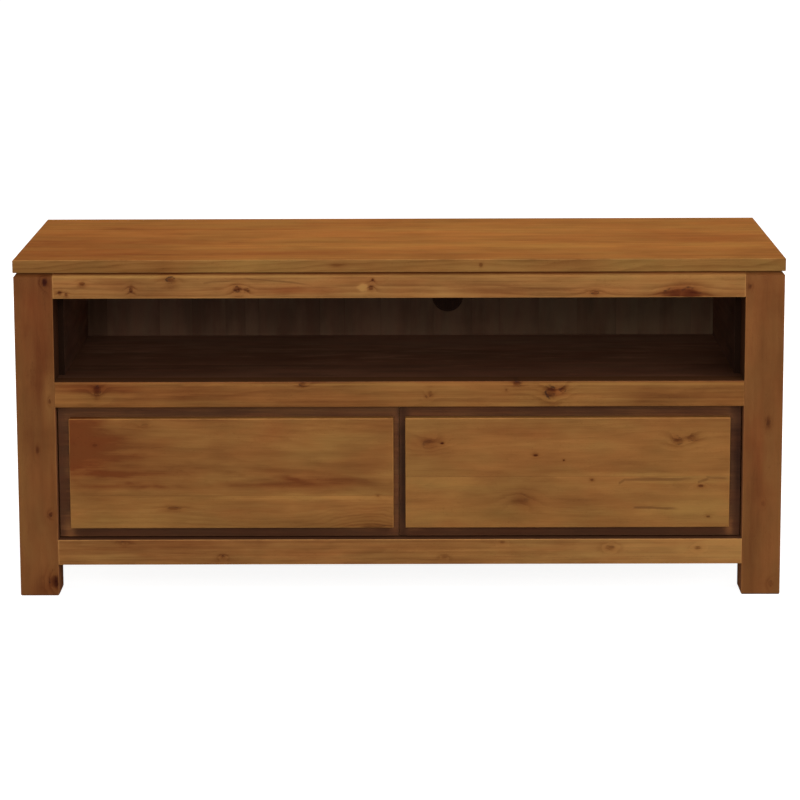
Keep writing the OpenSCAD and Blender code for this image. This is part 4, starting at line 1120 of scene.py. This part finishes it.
def brushMaterial(look):
    # dark brown nylon, a little paler from bristle to bristle
    material, tree = emptyMaterial("brush_nylon")
    point = millimetres(tree, put(tree, "TexCoord").outputs)
    strands = noise(tree, vec(tree, "MULTIPLY", point, look["strandScale"]))
    fine = noise(tree, vec(tree, "MULTIPLY", point, look["fineScale"]))
    colour = blend(tree, fade(tree, strands, 0.3, 0.7), look["dark"], look["pale"])
    bump = put(tree, "Bump", {"Strength": 0.2, "Distance": look["relief"], "Height": fine})
    shader = put(tree, "BsdfPrincipled", {
        "Base Color": colour, "Specular IOR Level": 0.08, "Normal": bump.outputs[0],
        "Roughness": fade(tree, strands, 0.2, 0.8, *look["roughness"])})
    put(tree, "OutputMaterial", {"Surface": shader.outputs[0]})
    return material


def makeBrushInsert(shape):
    hole = next(mount for mount in frame["record"]["mounts"] if mount["name"] == "cable_hole")
    centre = np.array(hole["pos_m"]) * 1000
    front, back = (float(corner[1]) * 1000 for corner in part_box("back_panel_upper"))
    outer = hole["dims"]["r_mm"] - shape["clearance"]
    inner = outer - shape["ringWall"]
    nylon = brushMaterial(brushNylon)
    # ring profile: (radius, y) carried round the hole's axis and closed on itself
    cut, lead = shape["chamfer"], shape["leadIn"]
    flange, rim = shape["flangeRadius"], back + shape["flangeThick"]
    profile = np.array([
        (inner, front + cut), (inner + cut, front), (outer - lead, front), (outer, front + lead),
        (outer, back), (flange, back), (flange, rim - cut), (flange - cut, rim), (inner + cut, rim),
        (inner, rim - cut), (inner, front + cut)])
    turn = np.linspace(0, 2 * np.pi, shape["ringColumns"], endpoint=False)[None, :]
    radius, depth = profile[:, :1], profile[:, 1:]
    ring = [centre[0] + radius * np.cos(turn), depth + 0 * turn, centre[2] + radius * np.sin(turn)]
    gridPiece("cable_brush_ring", np.stack(ring, axis=-1)[None] / 1000, nylon, "cabinet")
    # bristle: a tapered grid whose middle line is a parabola bent sideways by noise
    draw = np.random.default_rng(shape["seed"])
    step = shape["spacing"]
    layer, offset, half = (part.ravel() for part in np.meshgrid(
        np.array(shape["layers"]), np.arange(-inner, inner, step), np.array([-1.0, 1.0]), indexing="ij"))
    count = offset.size
    offset = offset + layer * shape["layerStep"] % step + draw.normal(0, shape["spacingSpread"], count)
    offset = np.clip(offset, shape["sideGap"] - inner, inner - shape["sideGap"])
    root = np.sqrt(np.maximum((inner + shape["rootDepth"]) ** 2 - offset ** 2, 0))
    tip = draw.normal(-shape["overlap"], shape["overlapSpread"], count)
    bend, sway = draw.normal(0, shape["bend"], count), draw.normal(0, shape["sway"], count)
    layer = layer - shape["layerShift"] * half
    along = np.linspace(0, 1, shape["bristleRows"])[None, :, None]
    around = np.linspace(0, 2 * np.pi, shape["bristleSides"], endpoint=False)[None, None, :]
    thick = shape["bristleRadius"] * (1 - shape["bristleTaper"] * along ** 3)
    offset, layer, half, root, tip, bend, sway = (
        part[:, None, None] for part in (offset, layer, half, root, tip, bend, sway))
    bristles = np.stack([
        centre[0] + offset + bend * along ** 2 + thick * np.cos(around),
        front + layer + sway * along ** 2 + thick * np.sin(around),
        centre[2] + half * (root + (tip - root) * along) + 0 * around], axis=-1)
    ends = [bristles[:, k:k + 1].mean(axis=2, keepdims=True) + 0 * bristles[:, k:k + 1] for k in (0, -1)]
    closed = np.concatenate([ends[0], bristles, ends[1]], axis=1)
    gridPiece("cable_brush_bristles", closed / 1000, nylon, "cabinet")


makeBrushInsert(brushInsert)
print("brush insert made")


# Floor and light, in metres and watts
studio = {
    "floorHalf": 60.0,
    "floorColour": 0.42,
    "floorGlow": 0.89,
    "horizon": 0.42,      # ambient light from the side
    "zenith": 0.46,       # and from above
    "lamps": {
        "key": dict(place=(1.9, -2.6, 3.1), aim=(0.0, 0.0, 0.3), size=(2.4, 2.0), power=44.0),
        "fill": dict(place=(-1.9, -2.8, 2.9), aim=(0.0, 0.0, 0.3), size=(2.4, 2.0), power=18.0),
        "middle": dict(place=(0.5, -4.9, 2.2), aim=(0.0, 0.0, 0.4), size=(2.4, 1.0), power=57.0),
        "front": dict(place=(-0.6, -5.7, 1.5), aim=(0.0, 0.0, 0.4), size=(2.0, 1.0), power=57.0),
        "overhead": dict(place=(0.3, -0.2, 3.2), aim=(0.0, 0.0, 0.5), size=(2.2, 1.4), power=32.0),
        "back": dict(place=(0.6, 2.9, 3.0), aim=(0.0, 0.0, 0.3), size=(2.4, 1.6), power=34.0),
        "rear": dict(place=(-0.4, 3.7, 0.9), aim=(0.0, 0.2, 0.3), size=(2.4, 1.2), power=26.0,
                     gloss=False),
        "leftEnd": dict(place=(-3.6, 0.4, 0.8), aim=(-0.6, 0.1, 0.3), size=(1.6, 1.2), power=26.0,
                        gloss=False),
        "rightEnd": dict(place=(3.6, 0.4, 0.8), aim=(0.6, 0.1, 0.3), size=(1.6, 1.2), power=26.0,
                         gloss=False),
    },
}


def backgroundRays(tree):
    # 1 for the rays that see the background, by eye, in gloss or through glass
    path = put(tree, "LightPath").outputs
    mirrored = calc(tree, "MAXIMUM", path["Is Glossy Ray"], path["Is Transmission Ray"])
    return calc(tree, "MAXIMUM", path["Is Camera Ray"], mirrored)


def makeFloor(half, colour, glow):
    # one large square at floor level; its glow is no light on the object
    mesh = bpy.data.meshes.new("studioFloor")
    corners = [(-half, -half, 0), (half, -half, 0), (half, half, 0), (-half, half, 0)]
    mesh.from_pydata(corners, [], [(0, 1, 2, 3)])
    floor = bpy.data.objects.new("studioFloor", mesh)
    bpy.context.collection.objects.link(floor)
    material, tree = emptyMaterial("studioFloor")
    shader = put(tree, "BsdfDiffuse", {"Color": (colour, colour, colour, 1.0)})
    strength = times(tree, backgroundRays(tree), glow)
    light = put(tree, "Emission", {"Color": white, "Strength": strength})
    both = put(tree, "AddShader", {0: shader.outputs[0], 1: light.outputs[0]})
    put(tree, "OutputMaterial", {"Surface": both.outputs[0]})
    mesh.materials.append(material)


def makeWorld(horizon, zenith):
    # white behind the object; its light grows from the horizon to the zenith
    world = bpy.data.worlds.new("studioWorld")
    bpy.context.scene.world = world
    world.use_nodes = True
    tree = world.node_tree
    tree.nodes.clear()
    height = parted(tree, put(tree, "TexCoord").outputs["Generated"])[2]
    ambient = fade(tree, height, 0.0, 0.9, horizon, zenith)
    strength = calc(tree, "MAXIMUM", backgroundRays(tree), ambient)
    light = put(tree, "Background", {"Color": white, "Strength": strength})
    put(tree, "OutputWorld", {"Surface": light.outputs[0]})


def makeLamp(name, place, aim, size, power, gloss=True):
    data = bpy.data.lights.new(name, "AREA")
    data.shape = "RECTANGLE"
    data.size, data.size_y = size
    data.energy = power
    lamp = bpy.data.objects.new(name, data)
    lamp.visible_camera, lamp.visible_glossy = False, gloss
    turn = (Vector(place) - Vector(aim)).to_track_quat("Z", "Y").to_matrix().to_4x4()
    lamp.matrix_world = Matrix.Translation(place) @ turn
    bpy.context.collection.objects.link(lamp)


makeFloor(studio["floorHalf"], studio["floorColour"], studio["floorGlow"])
makeWorld(studio["horizon"], studio["zenith"])
for name, lamp in studio["lamps"].items():
    makeLamp(name + "Softbox", **lamp)
print("studio made")
